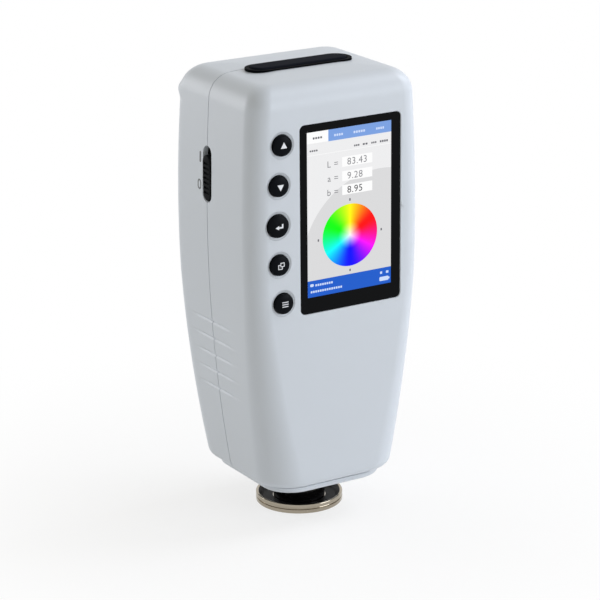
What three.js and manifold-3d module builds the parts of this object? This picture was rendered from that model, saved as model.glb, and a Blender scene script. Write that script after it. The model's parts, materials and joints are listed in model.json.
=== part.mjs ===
// A portable colorimeter that stands on its measuring head.
// Millimetres, +Z up, front face towards -Y.
// The origin lies on the surface it stands on, on the axis of the measuring head.

import * as THREE from "three";
import { mergeVertices } from "three/addons/utils/BufferGeometryUtils.js";
import Module from "manifold-3d";

const wasm = await Module();
wasm.setup();

// Overall form of the housing
const HEIGHT = 205;
const FLOOR_Z = 16.4;
const BASE_LINE_Z = 19.8;
const WIDEST_DOWN = 68;
const WIDEST_Z = HEIGHT - WIDEST_DOWN;
const HALF_WIDTH = 44;
const TOP_TAPER = 2.7;
const TOP_HALF_WIDTH = HALF_WIDTH - TOP_TAPER;
const LOW_HALF_WIDTH = 33.6;
const FRONT_DEPTH = 35;
const REAR_DEPTH = 36;
const REAR_TAPER = 1.9;
const TOP_REAR_DEPTH = REAR_DEPTH - REAR_TAPER;
const LOW_REAR_DEPTH = 33.2;
const CROWN = 1.2;
const TOP_EDGE = 10.1;
const LOWER_EDGE = 3.9;
const BASE_EDGE = 1.6;
const FRONT_CORNER = 8.8;
const FRONT_CORNER_LOW = 16;
const REAR_CORNER = 9;
const REAR_CORNER_LOW = 13.7;
const CORNER_TAPER_DOWN = 27;
const CORNER_TAPER_Z = WIDEST_Z - CORNER_TAPER_DOWN;
const LEAST_CORNER = 1.5;
const CORNER_SHRINK_SHARE = 0.5;
const RIDGE_DOWN = 12.4;
const RIDGE_Z = HEIGHT - RIDGE_DOWN;
const RIDGE_TALL = 9.4;
const RIDGE_PROUD = 2.2;
const WALL = 2.4;
const PARTING_Y = 3.2;

// Clearances that every piece shares
const FIT = 0.3;
const LINE_GAP = 0.3;
const OVERRUN = 3;
const SINK = 0.6;

// Display window, module and frame
const WINDOW_LEFT_IN = 24.6;
const WINDOW_RIGHT_IN = 12;
const WINDOW_TALL = 84.6;
const WINDOW_TOP_DOWN = 19.2;
const WINDOW_WIDE = 2 * HALF_WIDTH - WINDOW_LEFT_IN - WINDOW_RIGHT_IN;
const WINDOW_X = (WINDOW_LEFT_IN - WINDOW_RIGHT_IN) / 2;
const WINDOW_LOW_Z = HEIGHT - WINDOW_TOP_DOWN - WINDOW_TALL;
const WINDOW_Z = WINDOW_LOW_Z + WINDOW_TALL / 2;
const WINDOW_CORNER = 2.4;
const WINDOW_THICK = 1.5;
const WINDOW_SET_IN = 0.2;
const WINDOW_LEDGE = 2;
const MODULE_THICK = 3;
const FRAME_WALL = 2.4;
const FRAME_LIP = 1.2;

// Keys in a shallow arc left of the display
const KEY_NAMES = ["key_up", "key_down", "key_enter", "key_back", "key_menu"];
const KEY_DIAMETER = 9.4;
const KEY_MIDDLE_DIAMETER = 10.2;
const KEY_COLUMN_IN = 13.1;
const KEY_COLUMN_X = KEY_COLUMN_IN - HALF_WIDTH;
const KEY_PITCH = 17.6;
const KEY_ARC = 257;
const KEY_PROUD = 1.8;
const KEY_CROWN = 0.9;
const KEY_FLANGE_OVER = 0.8;
const KEY_FLANGE_THICK = 0.8;
const KEY_STEM_DIAMETER = 4;
const KEY_TRAVEL = 0.5;
const KEY_DISH_OVER = 1.5;
const KEY_DISH_DEEP = 0.5;

// Main board with its key switches
const BOARD_THICK = 1.6;
const BOARD_BEHIND = 7.6;
const BOARD_SIDE_IN = 5.6;
const BOARD_UNDER = 5.7;
const BOARD_TOP_DOWN = 22.2;
const BOARD_FRONT_Y = BOARD_BEHIND - FRONT_DEPTH;
const BOARD_HALF_WIDE = HALF_WIDTH - BOARD_SIDE_IN;
const BOARD_LOW_Z = WINDOW_LOW_Z - BOARD_UNDER;
const BOARD_TOP_Z = HEIGHT - BOARD_TOP_DOWN;
const BOARD_CORNER = 3;
const POST_DIAMETER = 5.6;
const POST_INSET = 3;
const POST_UP = 4;
const POST_DOWN = 6.3;
const POST_X = BOARD_HALF_WIDE - POST_INSET;
const POST_LOW_Z = BOARD_LOW_Z + POST_UP;
const POST_TOP_Z = BOARD_TOP_Z - POST_DOWN;
const TACT_WIDE = 6;
const TACT_CASE_TALL = 1.9;
const TACT_TALL = 2.6;
const TACT_PLUNGER_DIAMETER = 3.2;

// Test button on top, its bezel, board and switch
const BEZEL_END_IN = 17.8;
const BEZEL_LONG = 2 * (HALF_WIDTH - BEZEL_END_IN);
const BEZEL_WIDE = 14.6;
const BEZEL_Y = -2.5;
const BEZEL_RIM = 0.9;
const BEZEL_PROUD = 0.5;
const BEZEL_FLANGE_OVER = 0.8;
const BEZEL_SEAT = 0.1;
const BEZEL_DEEP = 8.2;
const BUTTON_PROUD = 1.5;
const BUTTON_CROWN = 0.7;
const BUTTON_FLANGE_OVER = 0.9;
const BUTTON_FLANGE_THICK = 1.4;
const BUTTON_TRAVEL = 1.2;
const BUTTON_STEM_DIAMETER = 5;
const BUTTON_POST_DIAMETER = 4.4;
const BUTTON_POST_OUT = 1.7;
const BUTTON_POST_X = BEZEL_LONG / 2 + BUTTON_POST_OUT;
const BUTTON_BOARD_OVER = 2.6;
const BUTTON_BOARD_LONG = 2 * (BUTTON_POST_X + BUTTON_BOARD_OVER);
const BUTTON_BOARD_WIDE = 11;
const BUTTON_BOARD_DOWN = 15.4;
const BUTTON_BOARD_TOP_Z = HEIGHT - BUTTON_BOARD_DOWN;

// Power switch on the left side
const SLOT_DOWN = 45;
const SLOT_Z = HEIGHT - SLOT_DOWN;
const SLOT_LONG = 25.1;
const SLOT_WIDE = 7.3;
const KNOB_LONG = 20.6;
const KNOB_PROUD = 1.3;
const KNOB_RIB_PITCH = 2.2;
const KNOB_RIB_DEEP = 0.6;
const KNOB_FLANGE_OVER = 1.8;
const KNOB_FLANGE_THICK = 1;
const KNOB_PEG = 2.4;
const KNOB_PEG_LONG = 2.6;
const SWITCH_DEEP = 7;
const SWITCH_WIDE = 8;
const SWITCH_TALL = 17;

// Sockets on the right side
const DC_DOWN = 37;
const DC_Z = HEIGHT - DC_DOWN;
const DC_BORE = 6.3;
const DC_PIN = 2;
const DC_BORE_DEEP = 9;
const DC_LONG = 13;
const DC_TALL = 11;
const DC_HOLE = 8.4;
const DC_SET_IN = 0.8;
const SOCKET_PITCH = 16;
const DATA_Z = DC_Z - SOCKET_PITCH;
const DATA_TALL = 7.9;
const DATA_WIDE = 4.2;
const DATA_CASE = 0.4;
const DATA_LONG = 9.5;
const DATA_DEEP = 7;
const DATA_TONGUE = 1.2;
const DATA_HOLE_OVER = 0.8;
const DATA_HOLE_CORNER = 1.2;
const SOCKET_WIDE = 9;

// Side boards that carry the power switch and the sockets
const SIDE_BOARD_WIDE = 17;
const SIDE_BOARD_OVER = 4;
const SIDE_BOARD_INSET = 2.4;
const SIDE_POST_DIAMETER = 5;
const SIDE_POST_INSET = 3.6;

// Grip grooves across the parting line on both sides
const GRIP_COUNT = 5;
const GRIP_LOW_Z = 60;
const GRIP_PITCH = 8;
const GRIP_LONG = 37;
const GRIP_WIDE = 2.6;
const GRIP_DEEP = 0.6;

// Housing screws and the bosses that they join
const SCREW_LOW_IN = 5.1;
const SCREW_TOP_IN = 9.8;
const SCREW_TOP_DOWN = 17.8;
const SCREW_LOW_X = LOW_HALF_WIDTH - SCREW_LOW_IN;
const SCREW_TOP_X = HALF_WIDTH - SCREW_TOP_IN;
const SCREW_TOP_Z = HEIGHT - SCREW_TOP_DOWN;
const SCREW_LOW_SHARE = 0.45;
const SCREW_SHANK = 2.4;
const SCREW_HEAD = 4.4;
const SCREW_HEAD_THICK = 1.7;
const SCREW_LONG = 9;
const SCREW_SLOT = 0.9;
const BOSS_DIAMETER = 5.6;
const BOSS_WALL = 1;
const BOSS_SHELF = 2.4;
const SMALL_SHANK = 1.9;
const SMALL_HEAD = 3.8;
const SMALL_HEAD_THICK = 1.3;
const SMALL_LONG = 5.5;

// Battery pack, its bay, contacts and cover
const PACK_WIDE = 46;
const PACK_TALL = 58;
const PACK_DEEP = 10.5;
const PACK_CORNER = 2.5;
const BAY_ABOVE_SPHERE = 33;
const BAY_CLEAR = 0.5;
const BAY_WALL = 1.5;
const CONTACT_SPACE = 4.5;
const CONTACT_IN = 8;
const CONTACT_X = PACK_WIDE / 2 - CONTACT_IN;
const CONTACT_WIDE = 5;
const CONTACT_THICK = 0.4;
const COVER_OVERLAP = 2.2;
const COVER_THICK = 1.5;
const COVER_CORNER = 4;
const COVER_GAP = 0.25;
const COVER_SEAT = 0.1;
const COVER_TAB_WIDE = 12;
const COVER_TAB_THICK = 1.4;
const COVER_TAB_DEEP = 4;
const COVER_LATCH_THICK = 1.4;
const COVER_DISH_RADIUS = 14;
const COVER_DISH_DEEP = 0.8;
const COVER_DISH_DOWN = 9;

// Measuring head
const RING_DIAMETER = 39.8;
const RING_TALL = 4.3;
const RING_LAND = 1;
const RING_DISH_DEEP = 2.1;
const RING_CHAMFER = 0.4;
const RING_GROOVE = 0.6;
const NECK_DIAMETER = 23.6;
const NECK_LOW_Z = 0.6;
const NECK_FLANGE_DIAMETER = 40;
const NECK_FLANGE_THICK = 2.4;
const NECK_COLLAR_DIAMETER = 20.8;
const NECK_TOP_Z = 23.6;
const PORT_SHOULDER = 2;
const INSERT_DIAMETER = 18;
const INSERT_TALL = 4.2;
const INSERT_SET_IN = 0.1;
const APERTURE = 8;
const APERTURE_LAND = 1;
const APERTURE_WIDEST = 11.4;
const WINDOW_SHOULDER = 1.2;
const DUST_DIAMETER = 14.6;
const DUST_THICK = 1;
const DUST_SHOULDER_BORE = 12.6;
const SEAL_SECTION = 1.4;
const SEAL_DIAMETER = 30.6;

// Integrating sphere, its bracket and the optics on top of it
const SPHERE_Z = 47;
const SPHERE_RADIUS = 20;
const SPHERE_WALL = 2.5;
const SPHERE_SHOULDER = 14;
const SPHERE_TAPER = 2;
const PORT_WALL = 1.7;
const FLANGE_HALF_X = 26.5;
const FLANGE_HALF_Y = 24.5;
const FLANGE_THICK = 2.5;
const FLANGE_CORNER = 6;
const LEG_X = 21.5;
const LEG_Y = 19.5;
const LEG_DIAMETER = 7;
const FLOOR_POST_TALL = 5.2;
const OPTICS_SCREW_LONG = 29;
const BRACKET_OVER = 2.2;
const BRACKET_THICK = 2.5;
const SENSOR_TILT = 8;
const TUBE_DIAMETER = 9;
const TUBE_BORE = 7;
const TUBE_LONG = 17;
const TUBE_LOW = 67.6;
const LENS_THICK = 2.2;
const LENS_EDGE = 1.2;
const LENS_UP = 6;
const SENSOR_BOARD_SIDE = 20;
const SENSOR_CHIP_SIDE = 7;
const SENSOR_CHIP_THICK = 1.2;
const LAMP_COUNT = 6;
const LAMP_CIRCLE = 30;
const LAMP_DIAMETER = 2.6;
const LAMP_TALL = 1.8;
const LAMP_BOARD_DIAMETER = 39;
const LAMP_BOARD_HOLE_OVER = 1.5;

// Fineness of the round faces
const CORNER_STEPS = 4;
const INNER_CORNER_STEPS = 2;
const TOP_EDGE_STEPS = 4;
const LOW_EDGE_STEPS = 2;
const BODY_STEPS = 4;
const UPPER_STEPS = 2;
const RIDGE_STEPS = 6;
const ARC_SEGMENTS = 1;
const SEEN_ARC_SEGMENTS = 2;
const ROUND_SIDES = 18;
const SMALL_SIDES = 8;
const DOME_STEPS = 3;
const SPHERE_STEPS = 4;
const SEAL_SIDES = 6;
const GRIP_SIDES = 6;
const RING_SIDES = 24;
const KEY_SIDES = 16;
const SCREW_SIDES = 8;
const LAMP_SIDES = 6;
const MERGE_DISTANCE = 1e-4;

// Solids and their surfaces

function toSolid(geometry) {
  const bare = geometry.clone();
  bare.deleteAttribute("normal");
  bare.deleteAttribute("uv");
  const merged = mergeVertices(bare, MERGE_DISTANCE);
  return new wasm.Manifold(
    new wasm.Mesh({
      numProp: 3,
      vertProperties: merged.attributes.position.array,
      triVerts: new Uint32Array(merged.index.array),
    }),
  );
}

function toGeometry(solid) {
  const surface = solid.getMesh();
  const geometry = new THREE.BufferGeometry();
  geometry.setAttribute("position", new THREE.BufferAttribute(new Float32Array(surface.vertProperties), 3));
  geometry.setIndex(new THREE.BufferAttribute(new Uint32Array(surface.triVerts), 1));
  geometry.computeVertexNormals();
  return geometry;
}

function joined(first, ...others) {
  return others.reduce((whole, other) => whole.add(other), first);
}

function cut(body, ...tools) {
  return tools.reduce((rest, tool) => rest.subtract(tool), body);
}

// Basic shapes, each given in the part's own frame

function block(x0, x1, y0, y1, z0, z1) {
  const box = new THREE.BoxGeometry(x1 - x0, y1 - y0, z1 - z0);
  return toSolid(box.translate((x0 + x1) / 2, (y0 + y1) / 2, (z0 + z1) / 2));
}

const planeAxes = {
  xy: new THREE.Matrix4(),
  xz: new THREE.Matrix4().makeBasis(
    new THREE.Vector3(1, 0, 0),
    new THREE.Vector3(0, 0, 1),
    new THREE.Vector3(0, -1, 0),
  ),
  yz: new THREE.Matrix4().makeBasis(
    new THREE.Vector3(0, 1, 0),
    new THREE.Vector3(0, 0, 1),
    new THREE.Vector3(1, 0, 0),
  ),
};

// An outline in one of the three planes, drawn out square to it from one place to another.
function prism(plane, shape, from, to, curveSegments = ARC_SEGMENTS) {
  const geometry = new THREE.ExtrudeGeometry(shape, { depth: to - from, bevelEnabled: false, curveSegments });
  const start = plane === "xz" ? to : from;
  geometry.applyMatrix4(planeAxes[plane]);
  if (plane === "xy") geometry.translate(0, 0, start);
  if (plane === "xz") geometry.translate(0, start, 0);
  if (plane === "yz") geometry.translate(start, 0, 0);
  return toSolid(geometry);
}

// The same with finer round stretches, for what is seen.
function seenPrism(plane, shape, from, to) {
  return prism(plane, shape, from, to, SEEN_ARC_SEGMENTS);
}

function roundedShape(wide, tall, corner, u = 0, v = 0) {
  const radius = Math.min(corner, wide / 2, tall / 2);
  const right = u + wide / 2;
  const left = u - wide / 2;
  const top = v + tall / 2;
  const low = v - tall / 2;
  const shape = new THREE.Shape();
  shape.absarc(right - radius, low + radius, radius, -Math.PI / 2, 0);
  shape.absarc(right - radius, top - radius, radius, 0, Math.PI / 2);
  shape.absarc(left + radius, top - radius, radius, Math.PI / 2, Math.PI);
  shape.absarc(left + radius, low + radius, radius, Math.PI, (3 * Math.PI) / 2);
  shape.closePath();
  return shape;
}

function discShape(diameter, u = 0, v = 0) {
  const shape = new THREE.Shape();
  shape.absarc(u, v, diameter / 2, 0, 2 * Math.PI);
  return shape;
}

// An arc has two sides for each of its curve segments.
function rod(plane, diameter, u, v, from, to, sides = SMALL_SIDES) {
  return prism(plane, discShape(diameter, u, v), from, to, sides / 2);
}

// A profile of [radius, height] points turned about the Z axis, listed from the bottom up on its outer side.
function turned(profile, sides = ROUND_SIDES) {
  const points = profile.map(([radius, height]) => new THREE.Vector2(radius, height));
  return new THREE.LatheGeometry(points, sides).rotateX(Math.PI / 2);
}

function revolve(profile, sides = ROUND_SIDES) {
  return toSolid(turned(profile, sides));
}

// Housing surface: rounded rectangles stacked up the height

function taper(z, widest, top, low) {
  if (z > WIDEST_Z) return widest - (widest - top) * ((z - WIDEST_Z) / (HEIGHT - WIDEST_Z)) ** 2;
  return widest - (widest - low) * ((WIDEST_Z - z) / (WIDEST_Z - BASE_LINE_Z)) ** 2;
}

function halfWidthAt(z) {
  return taper(z, HALF_WIDTH, TOP_HALF_WIDTH, LOW_HALF_WIDTH);
}

function rearDepthAt(z) {
  return taper(z, REAR_DEPTH, TOP_REAR_DEPTH, LOW_REAR_DEPTH);
}

// How far the ridge across the back stands out at a height.
function ridgeAt(z) {
  const across = Math.min(1, Math.abs(z - RIDGE_Z) / (RIDGE_TALL / 2));
  return RIDGE_PROUD * Math.cos((across * Math.PI) / 2) ** 2;
}

function cornerAt(z, low, high, inset) {
  const rise = Math.min(1, Math.max(0, (z - BASE_LINE_Z) / (CORNER_TAPER_Z - BASE_LINE_Z)));
  return Math.max(low + (high - low) * rise - inset * CORNER_SHRINK_SHARE, LEAST_CORNER);
}

function outlineAt(z, inset, ridge, steps) {
  const width = halfWidthAt(z) - inset;
  const front = FRONT_DEPTH - inset;
  const rear = rearDepthAt(z) + ridge - inset;
  const frontCorner = cornerAt(z, FRONT_CORNER_LOW, FRONT_CORNER, inset);
  const rearCorner = cornerAt(z, REAR_CORNER_LOW, REAR_CORNER, inset);
  const corners = [
    [width - frontCorner, frontCorner - front, frontCorner, -Math.PI / 2],
    [width - rearCorner, rear - rearCorner, rearCorner, 0],
    [rearCorner - width, rear - rearCorner, rearCorner, Math.PI / 2],
    [frontCorner - width, frontCorner - front, frontCorner, Math.PI],
  ];
  return corners.flatMap(([x, y, radius, start]) =>
    Array.from({ length: steps + 1 }, (_, step) => {
      const angle = start + (step * Math.PI) / 2 / steps;
      return [x + radius * Math.cos(angle), y + radius * Math.sin(angle), z];
    }),
  );
}

// Heights spread evenly from one level to another, without the first.
function between(from, to, steps) {
  return Array.from({ length: steps }, (_, step) => from + ((to - from) * (step + 1)) / steps);
}

// The [height, inset] levels of a rounded lower edge about its centre.
function lowEdgeLevels(centreZ, inset, radius) {
  const steps = radius > 0 ? LOW_EDGE_STEPS : 0;
  return Array.from({ length: steps + 1 }, (_, step) => {
    const angle = steps ? (step * Math.PI) / 2 / steps : 0;
    return [centreZ - radius * Math.cos(angle), inset - radius * Math.sin(angle)];
  });
}

// The levels of the foot: the floor with its band, and the widening edge above it.
function footLevels(offset) {
  const sunk = Math.max(offset, BASE_EDGE);
  const base = lowEdgeLevels(FLOOR_Z + sunk, LOWER_EDGE + sunk, Math.max(BASE_EDGE - offset, 0));
  const bandTop = [BASE_LINE_Z + offset, LOWER_EDGE + offset];
  const edge = lowEdgeLevels(BASE_LINE_Z + LOWER_EDGE, LOWER_EDGE, LOWER_EDGE - offset);
  return offset === 0 ? [...base, ...edge] : [...base, bandTop, ...edge];
}

// The [height, inset] levels of the rounded top edge and the crown above it.
function topLevels(offset) {
  const crownShares = [0.3, 0.6, 0.85];
  const radius = TOP_EDGE - offset;
  const edge = Array.from({ length: TOP_EDGE_STEPS + 1 }, (_, step) => {
    const angle = (step * Math.PI) / 2 / TOP_EDGE_STEPS;
    return [HEIGHT - CROWN - TOP_EDGE + radius * Math.sin(angle), TOP_EDGE - radius * Math.cos(angle)];
  });
  const crown = crownShares.map((share) => [
    HEIGHT - CROWN * (1 - share) ** 2 - offset,
    TOP_EDGE + (FRONT_DEPTH - TOP_EDGE) * share,
  ]);
  return [...edge, ...crown];
}

function loft(rings) {
  const count = rings[0].length;
  const vertices = rings.flat(2);
  const faces = [];
  for (let level = 0; level < rings.length - 1; level += 1) {
    for (let i = 0; i < count; i += 1) {
      const next = (i + 1) % count;
      const a = level * count + i;
      const b = level * count + next;
      faces.push(a, b, b + count, a, b + count, a + count);
    }
  }
  const last = (rings.length - 1) * count;
  for (let i = 1; i < count - 1; i += 1) {
    faces.push(0, i + 1, i);
    faces.push(last, last + i, last + i + 1);
  }
  const geometry = new THREE.BufferGeometry();
  geometry.setAttribute("position", new THREE.BufferAttribute(new Float32Array(vertices), 3));
  geometry.setIndex(faces);
  return toSolid(geometry);
}

// The housing's solid, one offset inside the outer surface. The inner surface has no ridge.
function housingBody(offset, steps = CORNER_STEPS) {
  const ridgeLowZ = RIDGE_Z - RIDGE_TALL / 2;
  const foot = footLevels(offset);
  const top = topLevels(offset);
  const lowerSides = between(foot[foot.length - 1][0], WIDEST_Z, BODY_STEPS);
  const upperSides = between(WIDEST_Z, ridgeLowZ, UPPER_STEPS);
  const sides = [...lowerSides, ...upperSides];
  const ridge = between(ridgeLowZ, ridgeLowZ + RIDGE_TALL, RIDGE_STEPS);
  const heights = offset > 0 ? sides : [...sides, ...ridge];
  const middle = heights.filter((z) => z < top[0][0]).map((z) => [z, offset]);
  const levels = [...foot, ...middle, ...top];
  return loft(levels.map(([z, inset]) => outlineAt(z, inset, offset > 0 ? 0 : ridgeAt(z), steps)));
}

const housingOuter = housingBody(0);
const housingInner = housingBody(WALL, INNER_CORNER_STEPS);
const housingShell = cut(housingOuter, housingInner);

// Places that several pieces share

const frontInnerY = WALL - FRONT_DEPTH;
const rearInnerY = REAR_DEPTH - WALL;
const farSide = HALF_WIDTH + OVERRUN;
const farDeep = REAR_DEPTH + RIDGE_PROUD + OVERRUN;
const farUp = HEIGHT + OVERRUN;
const frontPartingY = PARTING_Y - LINE_GAP / 2;
const rearPartingY = PARTING_Y + LINE_GAP / 2;
const boardBackY = BOARD_FRONT_Y + BOARD_THICK;
const floorTopZ = FLOOR_Z + WALL;
const floorPostTopZ = floorTopZ + FLOOR_POST_TALL;
const flangeTopZ = SPHERE_Z + FLANGE_THICK;
const opticsTipZ = flangeTopZ - OPTICS_SCREW_LONG;
const screwLowZ = flangeTopZ + SCREW_LOW_SHARE * (BOARD_LOW_Z - flangeTopZ);

const keyPlaces = KEY_NAMES.map((name, i) => {
  const middle = (KEY_NAMES.length - 1) / 2;
  const rise = (middle - i) * KEY_PITCH;
  return {
    name,
    x: KEY_COLUMN_X + KEY_ARC - Math.sqrt(KEY_ARC ** 2 - rise ** 2),
    z: WINDOW_Z + rise,
    diameter: i === middle ? KEY_MIDDLE_DIAMETER : KEY_DIAMETER,
  };
});

// Board posts stand between two keys on the left, and near the corners on the right.
const boardPosts = [
  [POST_X, POST_TOP_Z],
  [POST_X, POST_LOW_Z],
  [-POST_X, (keyPlaces[0].z + keyPlaces[1].z) / 2],
  [-POST_X, (keyPlaces[3].z + keyPlaces[4].z) / 2],
];

const housingScrews = [
  [-SCREW_TOP_X, SCREW_TOP_Z],
  [SCREW_TOP_X, SCREW_TOP_Z],
  [-SCREW_LOW_X, screwLowZ],
  [SCREW_LOW_X, screwLowZ],
];

const legPlaces = [
  [-LEG_X, -LEG_Y],
  [LEG_X, -LEG_Y],
  [LEG_X, LEG_Y],
  [-LEG_X, LEG_Y],
];

// Openings through the shells

function slotOpening() {
  const slot = roundedShape(SLOT_WIDE, SLOT_LONG, SLOT_WIDE / 2, PARTING_Y, SLOT_Z);
  return seenPrism("yz", slot, -farSide, -(halfWidthAt(SLOT_Z) - WALL - OVERRUN));
}

function socketOpenings() {
  const inner = halfWidthAt(DC_Z) - WALL - OVERRUN;
  const data = roundedShape(
    DATA_WIDE + 2 * DATA_HOLE_OVER,
    DATA_TALL + 2 * DATA_HOLE_OVER,
    DATA_HOLE_CORNER,
    PARTING_Y,
    DATA_Z,
  );
  const jack = rod("yz", DC_HOLE, PARTING_Y, DC_Z, inner, farSide, ROUND_SIDES);
  return joined(jack, prism("yz", data, inner, farSide));
}

function bezelOpening() {
  const hole = roundedShape(
    BEZEL_LONG - 2 * BEZEL_FLANGE_OVER,
    BEZEL_WIDE - 2 * BEZEL_FLANGE_OVER,
    BEZEL_WIDE / 2,
    0,
    BEZEL_Y,
  );
  return seenPrism("xy", hole, HEIGHT - WALL - OVERRUN, farUp);
}

// A slender spindle laid along Y, which leaves a groove that fades out at both ends.
function gripGroove(side, z) {
  const shares = [0, 0.65, 1, 0.65, 0];
  const half = GRIP_WIDE / 2;
  const points = shares.map(
    (share, i) => new THREE.Vector2(share * half, GRIP_LONG * (i / (shares.length - 1) - 1 / 2)),
  );
  const spindle = new THREE.LatheGeometry(points, GRIP_SIDES);
  const surfaceX = halfWidthAt(z) + half - GRIP_DEEP;
  return toSolid(spindle.translate(side * surfaceX, PARTING_Y, z));
}

function gripGrooves() {
  const grooves = [];
  for (let i = 0; i < GRIP_COUNT; i += 1) {
    const z = GRIP_LOW_Z + i * GRIP_PITCH;
    grooves.push(gripGroove(-1, z), gripGroove(1, z));
  }
  return joined(...grooves);
}

const sharedOpenings = joined(slotOpening(), socketOpenings(), bezelOpening(), gripGrooves());

// Front shell

function windowSeat() {
  const pocketY = WINDOW_THICK + WINDOW_SET_IN - FRONT_DEPTH;
  const pocket = roundedShape(WINDOW_WIDE + FIT, WINDOW_TALL + FIT, WINDOW_CORNER, WINDOW_X, WINDOW_Z);
  const through = roundedShape(
    WINDOW_WIDE - 2 * WINDOW_LEDGE,
    WINDOW_TALL - 2 * WINDOW_LEDGE,
    WINDOW_CORNER / 2,
    WINDOW_X,
    WINDOW_Z,
  );
  return joined(
    seenPrism("xz", pocket, -FRONT_DEPTH - OVERRUN, pocketY),
    prism("xz", through, -FRONT_DEPTH - OVERRUN, frontInnerY + OVERRUN),
  );
}

// A key's hole with a shallow dish round it.
function keyHole({ x, z, diameter }) {
  const hole = diameter / 2 + FIT;
  const dish = diameter / 2 + KEY_DISH_OVER;
  const room = diameter / 2 + KEY_FLANGE_OVER + FIT;
  const profile = [
    [0, -WALL - OVERRUN],
    [room, -WALL - OVERRUN],
    [room, -WALL],
    [hole, -WALL],
    [hole, -KEY_DISH_DEEP],
    [dish, 0],
    [dish, OVERRUN],
    [0, OVERRUN],
  ];
  return toSolid(turned(profile, KEY_SIDES).rotateX(Math.PI / 2).translate(x, -FRONT_DEPTH, z));
}

function frontShell() {
  const region = block(-farSide, farSide, -farDeep, frontPartingY, BASE_LINE_Z + LINE_GAP, farUp);
  const bosses = housingScrews.map(([x, z]) => rod("xz", BOSS_DIAMETER, x, z, -farDeep, frontPartingY));
  const posts = boardPosts.map(([x, z]) => rod("xz", POST_DIAMETER, x, z, -farDeep, BOARD_FRONT_Y));
  const buttonPosts = [-1, 1].map((side) =>
    rod("xy", BUTTON_POST_DIAMETER, side * BUTTON_POST_X, BEZEL_Y, BUTTON_BOARD_TOP_Z, farUp),
  );
  const inside = joined(...bosses, ...posts, ...buttonPosts).intersect(housingOuter);
  const shell = joined(housingShell.intersect(region), inside);
  const screwHoles = housingScrews.map(([x, z]) =>
    rod("xz", SCREW_SHANK + FIT, x, z, frontPartingY - SCREW_LONG, frontPartingY + OVERRUN),
  );
  const postHoles = boardPosts.map(([x, z]) =>
    rod("xz", SMALL_SHANK + FIT, x, z, boardBackY - SMALL_LONG - FIT, boardBackY),
  );
  const buttonHoles = [-1, 1].map((side) =>
    rod(
      "xy",
      SMALL_SHANK + FIT,
      side * BUTTON_POST_X,
      BEZEL_Y,
      BUTTON_BOARD_TOP_Z - OVERRUN,
      BUTTON_BOARD_TOP_Z - BOARD_THICK + SMALL_LONG + FIT,
    ),
  );
  return cut(
    shell,
    sharedOpenings,
    windowSeat(),
    ...keyPlaces.map(keyHole),
    ...screwHoles,
    ...postHoles,
    ...buttonHoles,
  );
}

// Battery bay, measured once for the shell, the pack and the cover
const bayLowZ = SPHERE_Z + BAY_ABOVE_SPHERE;
const bayHalfWide = PACK_WIDE / 2 + BAY_CLEAR;
const packLowZ = bayLowZ + CONTACT_SPACE + BAY_CLEAR;
const bayTopZ = packLowZ + PACK_TALL + BAY_CLEAR + COVER_LATCH_THICK + FIT;
const bayMiddleZ = (bayLowZ + bayTopZ) / 2;
const bayTall = bayTopZ - bayLowZ;
const packBackY = rearDepthAt(bayLowZ) - WALL;
const packMiddleY = packBackY - PACK_DEEP / 2;
const bayFloorY = packBackY - PACK_DEEP - BAY_CLEAR;

function coverShape(grow) {
  const wide = 2 * (bayHalfWide + COVER_OVERLAP + grow);
  const tall = bayTall + 2 * (COVER_OVERLAP + grow);
  return roundedShape(wide, tall, COVER_CORNER + grow, 0, bayMiddleZ);
}

// Rear shell, with the floor that runs under the front shell

function sidePostPlaces(side, middleZ, tall) {
  const x = side * (halfWidthAt(middleZ) - WALL - SIDE_BOARD_INSET - SIDE_BOARD_WIDE + SIDE_POST_INSET);
  return [
    [x, middleZ - tall / 2 + SIDE_POST_INSET],
    [x, middleZ + tall / 2 - SIDE_POST_INSET],
  ];
}

const switchBoardTall = SWITCH_TALL + 2 * SIDE_BOARD_OVER;
const switchBoardY = PARTING_Y + SWITCH_DEEP / 2;
const socketBoardZ = (DC_Z + DATA_Z) / 2;
const socketBoardTall = DC_Z - DATA_Z + DC_TALL + 2 * SIDE_BOARD_OVER;
const socketBoardY = PARTING_Y + SOCKET_WIDE / 2;
const switchPosts = sidePostPlaces(-1, SLOT_Z, switchBoardTall);
const socketPosts = sidePostPlaces(1, socketBoardZ, socketBoardTall);

function rearBoss(x, z) {
  return rod("xz", SCREW_HEAD + FIT * 2 + BOSS_WALL * 2, x, z, rearPartingY, farDeep);
}

function rearPost(x, z, boardY) {
  return rod("xz", SIDE_POST_DIAMETER, x, z, boardY + BOARD_THICK, farDeep);
}

function rearBossBore(x, z) {
  const shelfY = rearPartingY + BOSS_SHELF;
  return joined(
    rod("xz", SCREW_HEAD + FIT * 2, x, z, shelfY, farDeep),
    rod("xz", SCREW_SHANK + FIT * 2, x, z, rearPartingY - OVERRUN, shelfY + OVERRUN),
  );
}

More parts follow.
